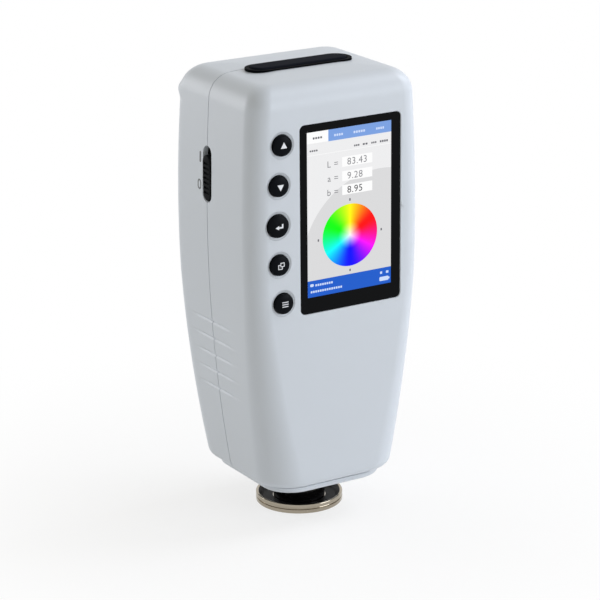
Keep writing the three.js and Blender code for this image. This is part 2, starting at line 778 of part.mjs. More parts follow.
function rearShell() {
  const frontRegion = block(-farSide, farSide, -farDeep, rearPartingY, BASE_LINE_Z, farUp);
  const bosses = housingScrews.map(([x, z]) => rearBoss(x, z));
  const switchStands = switchPosts.map(([x, z]) => rearPost(x, z, switchBoardY));
  const socketStands = socketPosts.map(([x, z]) => rearPost(x, z, socketBoardY));
  const floorPosts = legPlaces.map(([x, y]) =>
    rod("xy", LEG_DIAMETER, x, y, floorTopZ - SINK, floorPostTopZ),
  );
  const bay = block(
    -bayHalfWide - BAY_WALL,
    bayHalfWide + BAY_WALL,
    bayFloorY - BAY_WALL,
    rearInnerY,
    bayLowZ - BAY_WALL,
    bayTopZ + BAY_WALL,
  );
  const hollow = block(-bayHalfWide, bayHalfWide, bayFloorY, farDeep, bayLowZ, bayTopZ);
  const seatRegion = seenPrism("xz", coverShape(0), rearInnerY - OVERRUN, farDeep);
  const seat = cut(seatRegion, housingBody(COVER_THICK + COVER_SEAT));
  const supports = [...bosses, ...switchStands, ...socketStands, ...floorPosts];
  const inside = joined(bay, ...supports).intersect(housingOuter);
  return cut(
    joined(cut(housingShell, frontRegion), inside),
    hollow,
    seat,
    sharedOpenings,
    rod("xy", NECK_DIAMETER + 2 * FIT, 0, 0, FLOOR_Z - OVERRUN, floorTopZ + OVERRUN, ROUND_SIDES),
    ...housingScrews.map(([x, z]) => rearBossBore(x, z)),
    ...legPlaces.map(([x, y]) =>
      rod("xy", SMALL_SHANK + FIT, x, y, opticsTipZ - FIT, floorPostTopZ + OVERRUN),
    ),
  );
}

// Battery cover, pack and contacts

function batteryCover() {
  const skin = cut(housingOuter, housingBody(COVER_THICK));
  const panel = skin.intersect(seenPrism("xz", coverShape(-COVER_GAP), rearInnerY - OVERRUN, farDeep));
  const half = COVER_TAB_WIDE / 2;
  const tab = (lowZ, topZ) => {
    const innerY = rearDepthAt((lowZ + topZ) / 2) - COVER_THICK;
    return block(-half, half, innerY - COVER_TAB_DEEP, innerY + SINK, lowZ, topZ);
  };
  const lowTab = tab(bayLowZ + FIT, bayLowZ + FIT + COVER_TAB_THICK);
  const latch = tab(bayTopZ - FIT - COVER_LATCH_THICK, bayTopZ - FIT);
  const dish = new THREE.SphereGeometry(COVER_DISH_RADIUS, ROUND_SIDES, SMALL_SIDES);
  const dishY = rearDepthAt(bayTopZ) + COVER_DISH_RADIUS - COVER_DISH_DEEP;
  return cut(joined(panel, lowTab, latch), toSolid(dish.translate(0, dishY, bayTopZ - COVER_DISH_DOWN)));
}

function batteryPack() {
  const outline = roundedShape(PACK_WIDE, PACK_DEEP, PACK_CORNER, 0, packMiddleY);
  return prism("xy", outline, packLowZ, packLowZ + PACK_TALL);
}

// A bowed strip that presses on the lower end of the pack, drawn across the depth of the bay.
function batteryContact() {
  const rise = packLowZ - bayLowZ - FIT;
  const long = PACK_DEEP - 2 * BAY_CLEAR;
  // Places along the strip and up it, from its free end over the bow to its foot.
  const bowShares = [
    [0.2, 0.8],
    [0.5, 1],
    [0.8, 0.7],
    [1, 0],
    [0, 0],
  ];
  const outside = bowShares.map(([along, up]) => new THREE.Vector2(long * (along - 1 / 2), rise * up));
  const within = long / 2 - 2 * CONTACT_THICK;
  const inside = bowShares
    .slice(0, -2)
    .map(([along, up]) => new THREE.Vector2(within * (2 * along - 1), rise * up - CONTACT_THICK));
  const shape = new THREE.Shape([
    ...inside.reverse(),
    ...outside,
    new THREE.Vector2(-long / 2, CONTACT_THICK),
    new THREE.Vector2(within, CONTACT_THICK),
  ]);
  return prism("yz", shape, -CONTACT_WIDE / 2, CONTACT_WIDE / 2);
}

// Display

function displayWindow() {
  const outline = roundedShape(WINDOW_WIDE, WINDOW_TALL, WINDOW_CORNER, WINDOW_X, WINDOW_Z);
  return seenPrism("xz", outline, WINDOW_SET_IN - FRONT_DEPTH, WINDOW_SET_IN + WINDOW_THICK - FRONT_DEPTH);
}

const moduleWide = WINDOW_WIDE - 2 * (WINDOW_LEDGE + FIT);
const moduleTall = WINDOW_TALL - 2 * (WINDOW_LEDGE + FIT);
const moduleFrontY = WINDOW_SET_IN + WINDOW_THICK + FIT - FRONT_DEPTH;
const moduleBackY = moduleFrontY + MODULE_THICK;

function displayModule() {
  const outline = roundedShape(moduleWide, moduleTall, WINDOW_CORNER / 2, WINDOW_X, WINDOW_Z);
  return prism("xz", outline, moduleFrontY, moduleBackY);
}

// A frame on the main board that holds the display module against the front shell.
function displayFrame() {
  const outline = (over, corner) =>
    roundedShape(moduleWide + 2 * over, moduleTall + 2 * over, corner, WINDOW_X, WINDOW_Z);
  return cut(
    prism("xz", outline(FRAME_WALL, WINDOW_CORNER), frontInnerY + FIT, BOARD_FRONT_Y),
    prism("xz", outline(FIT, WINDOW_CORNER / 2), frontInnerY - OVERRUN, moduleBackY),
    prism("xz", outline(-FRAME_LIP, WINDOW_CORNER / 2), frontInnerY, BOARD_FRONT_Y + OVERRUN),
  );
}

// Keys and their switches, each drawn with its axis upwards and the front face or the board at height 0

const keyFlangeTop = -(WALL + FIT);
const keyFlangeLow = keyFlangeTop - KEY_FLANGE_THICK;
const keyTip = -(FRONT_DEPTH + BOARD_FRONT_Y) + TACT_TALL + KEY_TRAVEL + FIT;

// Points of a domed top, from its rim to its centre.
function domePoints(radius, rimZ, rise) {
  return Array.from({ length: DOME_STEPS + 1 }, (_, step) => {
    const angle = (step * Math.PI) / 2 / DOME_STEPS;
    return [radius * Math.cos(angle), rimZ + rise * Math.sin(angle)];
  });
}

function keyCap(diameter) {
  const radius = diameter / 2;
  const flange = radius + KEY_FLANGE_OVER;
  const profile = [
    [0, keyTip],
    [KEY_STEM_DIAMETER / 2, keyTip],
    [KEY_STEM_DIAMETER / 2, keyFlangeLow],
    [flange, keyFlangeLow],
    [flange, keyFlangeTop],
    [radius, keyFlangeTop],
    ...domePoints(radius, KEY_PROUD - KEY_CROWN, KEY_CROWN),
  ];
  return revolve(profile, KEY_SIDES);
}

function tactSwitch() {
  const half = TACT_WIDE / 2;
  const body = block(-half, half, -half, half, 0, TACT_CASE_TALL);
  return joined(body, rod("xy", TACT_PLUNGER_DIAMETER, 0, 0, TACT_CASE_TALL - SINK, TACT_TALL));
}

// Main board with its larger chips on the back

function mainBoard() {
  const wide = 2 * BOARD_HALF_WIDE;
  const tall = BOARD_TOP_Z - BOARD_LOW_Z;
  const middle = (BOARD_TOP_Z + BOARD_LOW_Z) / 2;
  const plate = prism("xz", roundedShape(wide, tall, BOARD_CORNER, 0, middle), BOARD_FRONT_Y, boardBackY);
  // Each chip: middle across and up the board, width, height and thickness, as shares of the board.
  const chipShares = [
    [0.1, 0.62, 0.18, 0.16, 0.9],
    [-0.22, 0.6, 0.14, 0.1, 0.6],
    [0.12, 0.3, 0.22, 0.1, 0.7],
    [-0.3, 0.25, 0.1, 0.12, 1.8],
    [0.34, 0.45, 0.08, 0.2, 1.2],
  ];
  const chips = chipShares.map(([across, up, chipWide, chipTall, thick]) => {
    const x = across * wide;
    const z = BOARD_LOW_Z + up * tall;
    const halfX = (chipWide * wide) / 2;
    const halfZ = (chipTall * tall) / 2;
    const backY = boardBackY + thick * BOARD_THICK;
    return block(x - halfX, x + halfX, boardBackY - SINK, backY, z - halfZ, z + halfZ);
  });
  const holes = boardPosts.map(([x, z]) =>
    rod("xz", SMALL_SHANK + 2 * FIT, x, z, BOARD_FRONT_Y - OVERRUN, boardBackY + OVERRUN),
  );
  return cut(joined(plate, ...chips), ...holes);
}

// Test button group

const collarLong = BEZEL_LONG - 2 * (BEZEL_FLANGE_OVER + FIT);
const collarWide = BEZEL_WIDE - 2 * (BEZEL_FLANGE_OVER + FIT);
const collarLowZ = HEIGHT - BEZEL_DEEP;
const buttonLong = collarLong - 2 * (BEZEL_RIM + FIT);
const buttonWide = collarWide - 2 * (BEZEL_RIM + FIT);

function obround(long, wide) {
  return roundedShape(long, wide, wide / 2, 0, BEZEL_Y);
}

function testButtonBezel() {
  const flange = seenPrism("xy", obround(BEZEL_LONG, BEZEL_WIDE), HEIGHT - WALL, HEIGHT + BEZEL_PROUD);
  const collar = seenPrism("xy", obround(collarLong, collarWide), collarLowZ, HEIGHT + BEZEL_PROUD);
  const bore = obround(collarLong - 2 * BEZEL_RIM, collarWide - 2 * BEZEL_RIM);
  return cut(
    joined(cut(flange, housingBody(-BEZEL_SEAT)), collar),
    seenPrism("xy", bore, collarLowZ - OVERRUN, farUp),
  );
}

function outlineRing(shape, z) {
  return shape
    .getPoints(SEEN_ARC_SEGMENTS)
    .slice(0, -1)
    .map((point) => [point.x, point.y, z]);
}

function testButton() {
  const topZ = HEIGHT + BUTTON_PROUD;
  const flangeTopZ = collarLowZ - FIT;
  const flangeLowZ = flangeTopZ - BUTTON_FLANGE_THICK;
  const tipZ = BUTTON_BOARD_TOP_Z + TACT_TALL + BUTTON_TRAVEL + FIT;
  // Height below the top and inset of each ring, as shares of the crown.
  const crownShares = [
    [1, 0],
    [0.45, 0.35],
    [0.1, 1.2],
    [0, 2.6],
  ];
  const rings = crownShares.map(([down, inset]) =>
    outlineRing(
      obround(buttonLong - 2 * inset * BUTTON_CROWN, buttonWide - 2 * inset * BUTTON_CROWN),
      topZ - down * BUTTON_CROWN,
    ),
  );
  const cap = loft([outlineRing(obround(buttonLong, buttonWide), flangeLowZ), ...rings]);
  const over = 2 * BUTTON_FLANGE_OVER;
  const flange = seenPrism("xy", obround(buttonLong + over, buttonWide + over), flangeLowZ, flangeTopZ);
  return joined(cap, flange, rod("xy", BUTTON_STEM_DIAMETER, 0, BEZEL_Y, tipZ, flangeLowZ + SINK));
}

function testButtonBoard() {
  const outline = roundedShape(BUTTON_BOARD_LONG, BUTTON_BOARD_WIDE, BOARD_CORNER, 0, BEZEL_Y);
  const lowZ = BUTTON_BOARD_TOP_Z - BOARD_THICK;
  const holes = [-1, 1].map((side) =>
    rod("xy", SMALL_SHANK + 2 * FIT, side * BUTTON_POST_X, BEZEL_Y, lowZ - OVERRUN, farUp),
  );
  return cut(prism("xy", outline, lowZ, BUTTON_BOARD_TOP_Z), ...holes);
}

// Power switch group, drawn with the knob at its lower, off, end

const knobTravel = SLOT_LONG - KNOB_LONG - 2 * FIT;
const knobZ = SLOT_Z - SLOT_LONG / 2 + FIT + KNOB_LONG / 2;
const knobReachZ = knobZ + KNOB_LONG / 2 + KNOB_FLANGE_OVER + knobTravel;
const knobFlangeX = -(Math.min(halfWidthAt(knobReachZ), halfWidthAt(SLOT_Z)) - WALL - FIT);
const switchOuterX = knobFlangeX + KNOB_FLANGE_THICK + FIT;

function powerSwitchKnob() {
  const faceX = -(halfWidthAt(SLOT_Z) + KNOB_PROUD);
  const wide = SLOT_WIDE - 2 * FIT;
  const flangeInnerX = knobFlangeX + KNOB_FLANGE_THICK;
  const cap = roundedShape(wide, KNOB_LONG, wide / 2, PARTING_Y, knobZ);
  const flange = roundedShape(
    wide + 2 * KNOB_FLANGE_OVER,
    KNOB_LONG + 2 * KNOB_FLANGE_OVER,
    KNOB_FLANGE_OVER,
    PARTING_Y,
    knobZ,
  );
  const half = KNOB_PEG / 2;
  const pegX = flangeInnerX + KNOB_PEG_LONG;
  const [y0, y1] = [PARTING_Y - half, PARTING_Y + half];
  const peg = block(flangeInnerX - SINK, pegX, y0, y1, knobZ - half, knobZ + half);
  const body = joined(
    seenPrism("yz", cap, faceX, flangeInnerX),
    prism("yz", flange, knobFlangeX, flangeInnerX),
    peg,
  );
  const count = Math.floor((KNOB_LONG - wide) / KNOB_RIB_PITCH);
  const grooves = Array.from({ length: count + 1 }, (_, i) => {
    const z = knobZ + (i - count / 2) * KNOB_RIB_PITCH;
    const quarter = KNOB_RIB_PITCH / 4;
    const bottomX = faceX + KNOB_RIB_DEEP;
    return block(faceX - OVERRUN, bottomX, PARTING_Y - wide, PARTING_Y + wide, z - quarter, z + quarter);
  });
  return cut(body, ...grooves);
}

function powerSwitchBody() {
  const half = SWITCH_DEEP / 2;
  const peg = KNOB_PEG / 2 + FIT;
  const body = block(
    switchOuterX,
    switchOuterX + SWITCH_WIDE,
    PARTING_Y - half,
    PARTING_Y + half,
    SLOT_Z - SWITCH_TALL / 2,
    SLOT_Z + SWITCH_TALL / 2,
  );
  const slot = block(
    switchOuterX - OVERRUN,
    switchOuterX + KNOB_PEG_LONG,
    PARTING_Y - peg,
    PARTING_Y + peg,
    knobZ - peg,
    knobZ + peg + knobTravel,
  );
  return cut(body, slot);
}

// A board that stands on two posts of the rear shell, beside the wall on one side.
function sideBoard(side, boardY, middleZ, tall) {
  const wallX = halfWidthAt(middleZ) - WALL - SIDE_BOARD_INSET;
  const x = side * (wallX - SIDE_BOARD_WIDE / 2);
  const outline = roundedShape(SIDE_BOARD_WIDE, tall, BOARD_CORNER / 2, x, middleZ);
  return prism("xz", outline, boardY, boardY + BOARD_THICK);
}

// Sockets

function dcJack() {
  const faceX = halfWidthAt(DC_Z) - WALL - FIT;
  const noseX = halfWidthAt(DC_Z) - DC_SET_IN;
  const half = SOCKET_WIDE / 2;
  const body = joined(
    block(faceX - DC_LONG, faceX, PARTING_Y - half, PARTING_Y + half, DC_Z - DC_TALL / 2, DC_Z + DC_TALL / 2),
    rod("yz", DC_HOLE - 2 * FIT, PARTING_Y, DC_Z, faceX - SINK, noseX, ROUND_SIDES),
  );
  const bored = cut(body, rod("yz", DC_BORE, PARTING_Y, DC_Z, noseX - DC_BORE_DEEP, farSide, ROUND_SIDES));
  return joined(bored, rod("yz", DC_PIN, PARTING_Y, DC_Z, noseX - DC_BORE_DEEP - SINK, noseX - SINK));
}

function dataSocket() {
  const faceX = halfWidthAt(DATA_Z) - WALL - FIT;
  const noseX = halfWidthAt(DATA_Z) - DC_SET_IN;
  const half = SOCKET_WIDE / 2;
  const outline = (over, corner) =>
    roundedShape(DATA_WIDE + 2 * over, DATA_TALL + 2 * over, corner, PARTING_Y, DATA_Z);
  const outer = outline(DATA_CASE, DATA_HOLE_CORNER);
  const inner = outline(0, DATA_HOLE_CORNER - DATA_CASE);
  const body = joined(
    block(faceX - DATA_LONG, faceX, PARTING_Y - half, PARTING_Y + half, DATA_Z - half, DATA_Z + half),
    prism("yz", outer, faceX - SINK, noseX),
  );
  const tongue = block(
    noseX - DATA_DEEP - SINK,
    noseX - SINK,
    PARTING_Y - DATA_TONGUE / 2,
    PARTING_Y + DATA_TONGUE / 2,
    DATA_Z - DATA_TALL / 4,
    DATA_Z + DATA_TALL / 4,
  );
  return joined(cut(body, prism("yz", inner, noseX - DATA_DEEP, farSide)), tongue);
}

// Measuring head

const neckBore = NECK_DIAMETER + 2 * FIT;
const shoulderLowZ = RING_CHAMFER + INSERT_SET_IN + INSERT_TALL;
const shoulderTopZ = shoulderLowZ + WINDOW_SHOULDER;
const portTipZ = shoulderTopZ + DUST_THICK + FIT;

function locatingRing() {
  const outer = RING_DIAMETER / 2;
  const bore = neckBore / 2;
  const middle = RING_TALL / 2;
  return revolve(
    [
      [bore, 0],
      [outer - RING_CHAMFER, 0],
      [outer, RING_CHAMFER],
      [outer, middle - RING_GROOVE / 2],
      [outer - RING_GROOVE, middle],
      [outer, middle + RING_GROOVE / 2],
      [outer, RING_TALL - RING_CHAMFER],
      [outer - RING_CHAMFER, RING_TALL],
      [outer - RING_LAND, RING_TALL],
      [outer - RING_LAND - RING_DISH_DEEP, RING_TALL - RING_DISH_DEEP],
      [bore, RING_TALL - RING_DISH_DEEP],
      [bore, 0],
    ],
    RING_SIDES,
  );
}

function measuringNeck() {
  const outer = NECK_DIAMETER / 2;
  const flange = NECK_FLANGE_DIAMETER / 2;
  const collar = NECK_COLLAR_DIAMETER / 2;
  const insertBore = INSERT_DIAMETER / 2 + FIT;
  const dustBore = DUST_DIAMETER / 2 + FIT;
  const flangeTopZ = floorTopZ + NECK_FLANGE_THICK;
  const body = revolve([
    [insertBore, NECK_LOW_Z],
    [outer, NECK_LOW_Z],
    [outer, floorTopZ],
    [flange, floorTopZ],
    [flange, flangeTopZ],
    [collar, flangeTopZ],
    [collar, NECK_TOP_Z],
    [dustBore, NECK_TOP_Z],
    [dustBore, shoulderTopZ],
    [DUST_SHOULDER_BORE / 2, shoulderTopZ],
    [DUST_SHOULDER_BORE / 2, shoulderLowZ],
    [insertBore, shoulderLowZ],
    [insertBore, NECK_LOW_Z],
  ]);
  const grooveIn = SEAL_DIAMETER / 2 - SEAL_SECTION / 2 - FIT;
  const grooveOut = SEAL_DIAMETER / 2 + SEAL_SECTION / 2 + FIT;
  const grooveTopZ = floorTopZ + SEAL_SECTION + FIT;
  const groove = revolve([
    [grooveIn, floorTopZ - OVERRUN],
    [grooveOut, floorTopZ - OVERRUN],
    [grooveOut, grooveTopZ],
    [grooveIn, grooveTopZ],
    [grooveIn, floorTopZ - OVERRUN],
  ]);
  return cut(body, groove);
}

function neckSeal() {
  const radius = SEAL_SECTION / 2;
  const section = Array.from({ length: SEAL_SIDES + 1 }, (_, step) => {
    const angle = (2 * Math.PI * step) / SEAL_SIDES;
    const middleZ = floorTopZ + FIT / 2 + radius;
    return [SEAL_DIAMETER / 2 + radius * Math.cos(angle), middleZ + radius * Math.sin(angle)];
  });
  return revolve(section);
}

function apertureInsert() {
  const outer = INSERT_DIAMETER / 2;
  const lowZ = shoulderLowZ - INSERT_TALL;
  return revolve([
    [APERTURE / 2, lowZ],
    [outer, lowZ],
    [outer, shoulderLowZ],
    [APERTURE_WIDEST / 2, shoulderLowZ],
    [APERTURE / 2, lowZ + APERTURE_LAND],
    [APERTURE / 2, lowZ],
  ]);
}

function dustWindow() {
  return rod("xy", DUST_DIAMETER, 0, 0, shoulderTopZ, shoulderTopZ + DUST_THICK, ROUND_SIDES);
}

// Integrating sphere in two halves, joined by square flanges

const sphereOuter = SPHERE_RADIUS + SPHERE_WALL;
const wallMiddle = SPHERE_RADIUS + SPHERE_WALL / 2;
const sphereTopZ = SPHERE_Z + SPHERE_RADIUS + SPHERE_WALL;

// Points on the inside or outside of the sphere between two angles from the level, top side positive.
function spherePoints(radius, from, to) {
  return Array.from({ length: SPHERE_STEPS + 1 }, (_, step) => {
    const angle = from + ((to - from) * step) / SPHERE_STEPS;
    return [radius * Math.cos(angle), SPHERE_Z + radius * Math.sin(angle)];
  });
}

// A square plate with a round hole, as wide as the flanges and so much over.
function flangePlate(z0, z1, over, holeRadius) {
  const outline = roundedShape(2 * (FLANGE_HALF_X + over), 2 * (FLANGE_HALF_Y + over), FLANGE_CORNER);
  const hole = rod("xy", 2 * holeRadius, 0, 0, z0 - OVERRUN, z1 + OVERRUN, ROUND_SIDES);
  return cut(prism("xy", outline, z0, z1), hole);
}

function legHoles(from, to) {
  return legPlaces.map(([x, y]) => rod("xy", SMALL_SHANK + 2 * FIT, x, y, from, to));
}

function sphereLower() {
  const portOuter = DUST_DIAMETER / 2;
  const portInner = portOuter - PORT_WALL;
  const shoulder = portOuter + PORT_SHOULDER;
  const outerEnd = -Math.acos(shoulder / sphereOuter);
  const innerEnd = -Math.acos(portInner / SPHERE_RADIUS);
  const bowl = revolve([
    [portInner, portTipZ],
    [portOuter, portTipZ],
    [portOuter, NECK_TOP_Z],
    [shoulder, NECK_TOP_Z],
    ...spherePoints(sphereOuter, outerEnd, 0),
    ...spherePoints(SPHERE_RADIUS, 0, innerEnd),
    [portInner, portTipZ],
  ]);
  const plate = flangePlate(SPHERE_Z - FLANGE_THICK, SPHERE_Z, 0, wallMiddle);
  return cut(joined(bowl, plate), ...legHoles(0, farUp));
}

function lampPlaces() {
  return Array.from({ length: LAMP_COUNT }, (_, i) => {
    const angle = (2 * Math.PI * i) / LAMP_COUNT;
    return [(LAMP_CIRCLE / 2) * Math.cos(angle), (LAMP_CIRCLE / 2) * Math.sin(angle)];
  });
}

const sensorTilt = THREE.MathUtils.degToRad(SENSOR_TILT);

// A rod on the tilted axis of the sensor, given by distances from the sample.
function sensorRod(diameter, from, to) {
  const profile = [
    [0, from],
    [diameter / 2, from],
    [diameter / 2, to],
    [0, to],
  ];
  return toSolid(turned(profile).rotateX(sensorTilt));
}

function sphereUpper() {
  const topAngle = Math.PI / 2;
  const dome = revolve([
    ...spherePoints(SPHERE_RADIUS, topAngle, 0).map(([r, z]) => [Math.max(r, 0), z]),
    [sphereOuter, SPHERE_Z],
    [sphereOuter, SPHERE_Z + SPHERE_SHOULDER],
    [sphereOuter - SPHERE_TAPER, sphereTopZ],
    [0, sphereTopZ],
  ]);
  const plate = flangePlate(SPHERE_Z, flangeTopZ, 0, wallMiddle);
  const lampPorts = lampPlaces().map(([x, y]) =>
    rod("xy", LAMP_DIAMETER + 2 * FIT, x, y, SPHERE_Z, farUp, LAMP_SIDES),
  );
  const sensorPort = sensorRod(TUBE_DIAMETER + 2 * FIT, SPHERE_Z, farUp);
  return cut(joined(dome, plate), ...legHoles(0, farUp), ...lampPorts, sensorPort);
}

function opticsBracket() {
  const topZ = SPHERE_Z - FLANGE_THICK;
  const lowZ = topZ - BRACKET_THICK;
  const plate = flangePlate(lowZ, topZ, BRACKET_OVER, sphereOuter + FIT);
  const legs = legPlaces.map(([x, y]) => rod("xy", LEG_DIAMETER, x, y, floorPostTopZ, lowZ + SINK));
  return cut(joined(plate, ...legs), ...legHoles(floorTopZ, farUp));
}

function lampBoard() {
  const board = rod("xy", LAMP_BOARD_DIAMETER, 0, 0, sphereTopZ, sphereTopZ + BOARD_THICK, ROUND_SIDES);
  const lamps = lampPlaces().map(([x, y]) =>
    rod("xy", LAMP_DIAMETER, x, y, sphereTopZ - LAMP_TALL, sphereTopZ + SINK, LAMP_SIDES),
  );
  return cut(joined(board, ...lamps), sensorRod(TUBE_DIAMETER + 2 * LAMP_BOARD_HOLE_OVER, SPHERE_Z, farUp));
}

// The pieces on the tilted axis are drawn upright and turned as a group about the sample.

function sensorTube() {
  const outer = TUBE_DIAMETER / 2;
  const bore = TUBE_BORE / 2;
  return revolve([
    [bore, TUBE_LOW],
    [outer, TUBE_LOW],
    [outer, TUBE_LOW + TUBE_LONG],
    [bore, TUBE_LOW + TUBE_LONG],
    [bore, TUBE_LOW],
  ]);
}

function sensorLens() {
  const radius = TUBE_BORE / 2 - FIT;
  const middle = TUBE_LOW + LENS_UP;
  const edge = LENS_EDGE / 2;
  const half = LENS_THICK / 2;
  const bulge = domePoints(radius, edge, half - edge);
  const lower = bulge.map(([r, z]) => [r, middle - z]).reverse();
  const upper = bulge.map(([r, z]) => [r, middle + z]);
  return revolve([...lower, ...upper], SMALL_SIDES);
}

function sensorBoard() {
  const lowZ = TUBE_LOW + TUBE_LONG + FIT;
  const half = SENSOR_CHIP_SIDE / 2;
  const plate = roundedShape(SENSOR_BOARD_SIDE, SENSOR_BOARD_SIDE, BOARD_CORNER / 2);
  const topZ = lowZ + BOARD_THICK;
  return joined(
    prism("xy", plate, lowZ, topZ),
    block(-half, half, -half, half, topZ - SINK, topZ + SENSOR_CHIP_THICK),
  );
}

// Screws with a cross recess, drawn with the head's underside at height 0 and the head upwards

function screw(shank, head, headThick, long) {
  const recessShare = 0.64;
  const deepShare = 0.55;
  const profile = [
    [0, -long],
    [shank / 2, -long],
    [shank / 2, 0],
    [head / 2, 0],
    [head / 2, headThick],
    [0, headThick],
  ];
  const reach = (head * recessShare) / 2;
  const half = SCREW_SLOT / 2;
  const low = headThick * (1 - deepShare);
  return cut(
    revolve(profile, SCREW_SIDES),
    block(-reach, reach, -half, half, low, headThick + OVERRUN),
    block(-half, half, -reach, reach, low, headThick + OVERRUN),
  );
}

// Finishes

function finish(colour, roughness, metalness = 0, more = {}) {
  return () => new THREE.MeshStandardMaterial({ color: colour, roughness, metalness, ...more });
}

const finishes = {
  shell: finish("#c9d1da", 0.45),
  gloss: finish("#15161a", 0.12),
  rubber: finish("#1c1d20", 0.6),
  dark: finish("#24262b", 0.4),
  chrome: finish("#c8c8c8", 0.12, 1),
  steel: finish("#9a9ca0", 0.3, 1),
  white: finish("#eeeeea", 0.8),
  board: finish("#1f5f3f", 0.5),
  panel: finish("#cfd6e0", 0.25),
  glass: finish("#dfe8ee", 0.05, 0, { transparent: true, opacity: 0.35 }),
  cell: finish("#3c6ea5", 0.5),
  copper: finish("#c79a4b", 0.35, 1),
};

// Assembly

const colorimeter = new THREE.Group();

function add(name, solid, finishName, parent = colorimeter) {
  const mesh = new THREE.Mesh(toGeometry(solid), finishes[finishName]());
  mesh.name = name;
  parent.add(mesh);
  return mesh;
}

add("front_shell", frontShell(), "shell");
add("rear_shell", rearShell(), "shell");
add("battery_cover", batteryCover(), "shell");
add("battery_pack", batteryPack(), "cell");
for (const [name, side] of [
  ["battery_contact_left", -1],
  ["battery_contact_right", 1],
]) {
  const contact = add(name, batteryContact(), "copper");
  contact.position.set(side * CONTACT_X, packMiddleY, bayLowZ);
}

add("display_window", displayWindow(), "gloss");
add("display_module", displayModule(), "panel");
add("display_frame", displayFrame(), "dark");
add("main_board", mainBoard(), "board");

keyPlaces.forEach(({ name, x, z, diameter }) => {
  const cap = add(name, keyCap(diameter), "gloss");
  cap.rotation.x = Math.PI / 2;
  cap.position.set(x, -FRONT_DEPTH, z);
  const tact = add(name + "_switch", tactSwitch(), "dark");
  tact.rotation.x = Math.PI / 2;
  tact.position.set(x, BOARD_FRONT_Y, z);
});

add("test_button_bezel", testButtonBezel(), "dark");
add("test_button", testButton(), "gloss");
add("test_button_board", testButtonBoard(), "board");
const testSwitch = add("test_button_switch", tactSwitch(), "dark");
testSwitch.position.set(0, BEZEL_Y, BUTTON_BOARD_TOP_Z);

add("power_switch_knob", powerSwitchKnob(), "rubber");
add("power_switch_body", powerSwitchBody(), "dark");
add("power_switch_board", sideBoard(-1, switchBoardY, SLOT_Z, switchBoardTall), "board");
add("dc_jack", dcJack(), "dark");
add("data_socket", dataSocket(), "steel");
add("socket_board", sideBoard(1, socketBoardY, socketBoardZ, socketBoardTall), "board");

add("locating_ring", locatingRing(), "chrome");
add("measuring_neck", measuringNeck(), "gloss");
add("neck_seal", neckSeal(), "rubber");
add("aperture_insert", apertureInsert(), "dark");
add("dust_window", dustWindow(), "glass");

add("optics_bracket", opticsBracket(), "dark");
add("sphere_lower", sphereLower(), "white");
add("sphere_upper", sphereUpper(), "white");
add("lamp_board", lampBoard(), "board");
const sensorGroup = new THREE.Group();
sensorGroup.rotation.x = sensorTilt;
colorimeter.add(sensorGroup);
add("sensor_tube", sensorTube(), "dark", sensorGroup);
add("sensor_lens", sensorLens(), "glass", sensorGroup);
add("sensor_board", sensorBoard(), "board", sensorGroup);

housingScrews.forEach(([x, z], i) => {
  const solid = screw(SCREW_SHANK, SCREW_HEAD, SCREW_HEAD_THICK, SCREW_LONG);
  const fastener = add("housing_screw_" + (i + 1), solid, "steel");
  fastener.rotation.x = -Math.PI / 2;
  fastener.position.set(x, rearPartingY + BOSS_SHELF, z);
});

const smallScrew = (long) => screw(SMALL_SHANK, SMALL_HEAD, SMALL_HEAD_THICK, long);

boardPosts.forEach(([x, z], i) => {
  const fastener = add("board_screw_" + (i + 1), smallScrew(SMALL_LONG), "steel");
  fastener.rotation.x = -Math.PI / 2;
  fastener.position.set(x, boardBackY, z);
});

[-1, 1].forEach((side, i) => {
  const fastener = add("button_board_screw_" + (i + 1), smallScrew(SMALL_LONG), "steel");
  fastener.rotation.x = Math.PI;
  fastener.position.set(side * BUTTON_POST_X, BEZEL_Y, BUTTON_BOARD_TOP_Z - BOARD_THICK);
});

legPlaces.forEach(([x, y], i) => {
  const fastener = add("optics_screw_" + (i + 1), smallScrew(OPTICS_SCREW_LONG), "steel");
  fastener.position.set(x, y, flangeTopZ);
});

export default colorimeter;
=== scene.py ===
"""Finished pieces, surfaces and studio for a portable colorimeter.

Lengths in the code are millimetres until a mesh is made, and metres in the meshes and settings.
"""

import json
import math

import bpy
from mathutils import Euler, Matrix, Vector

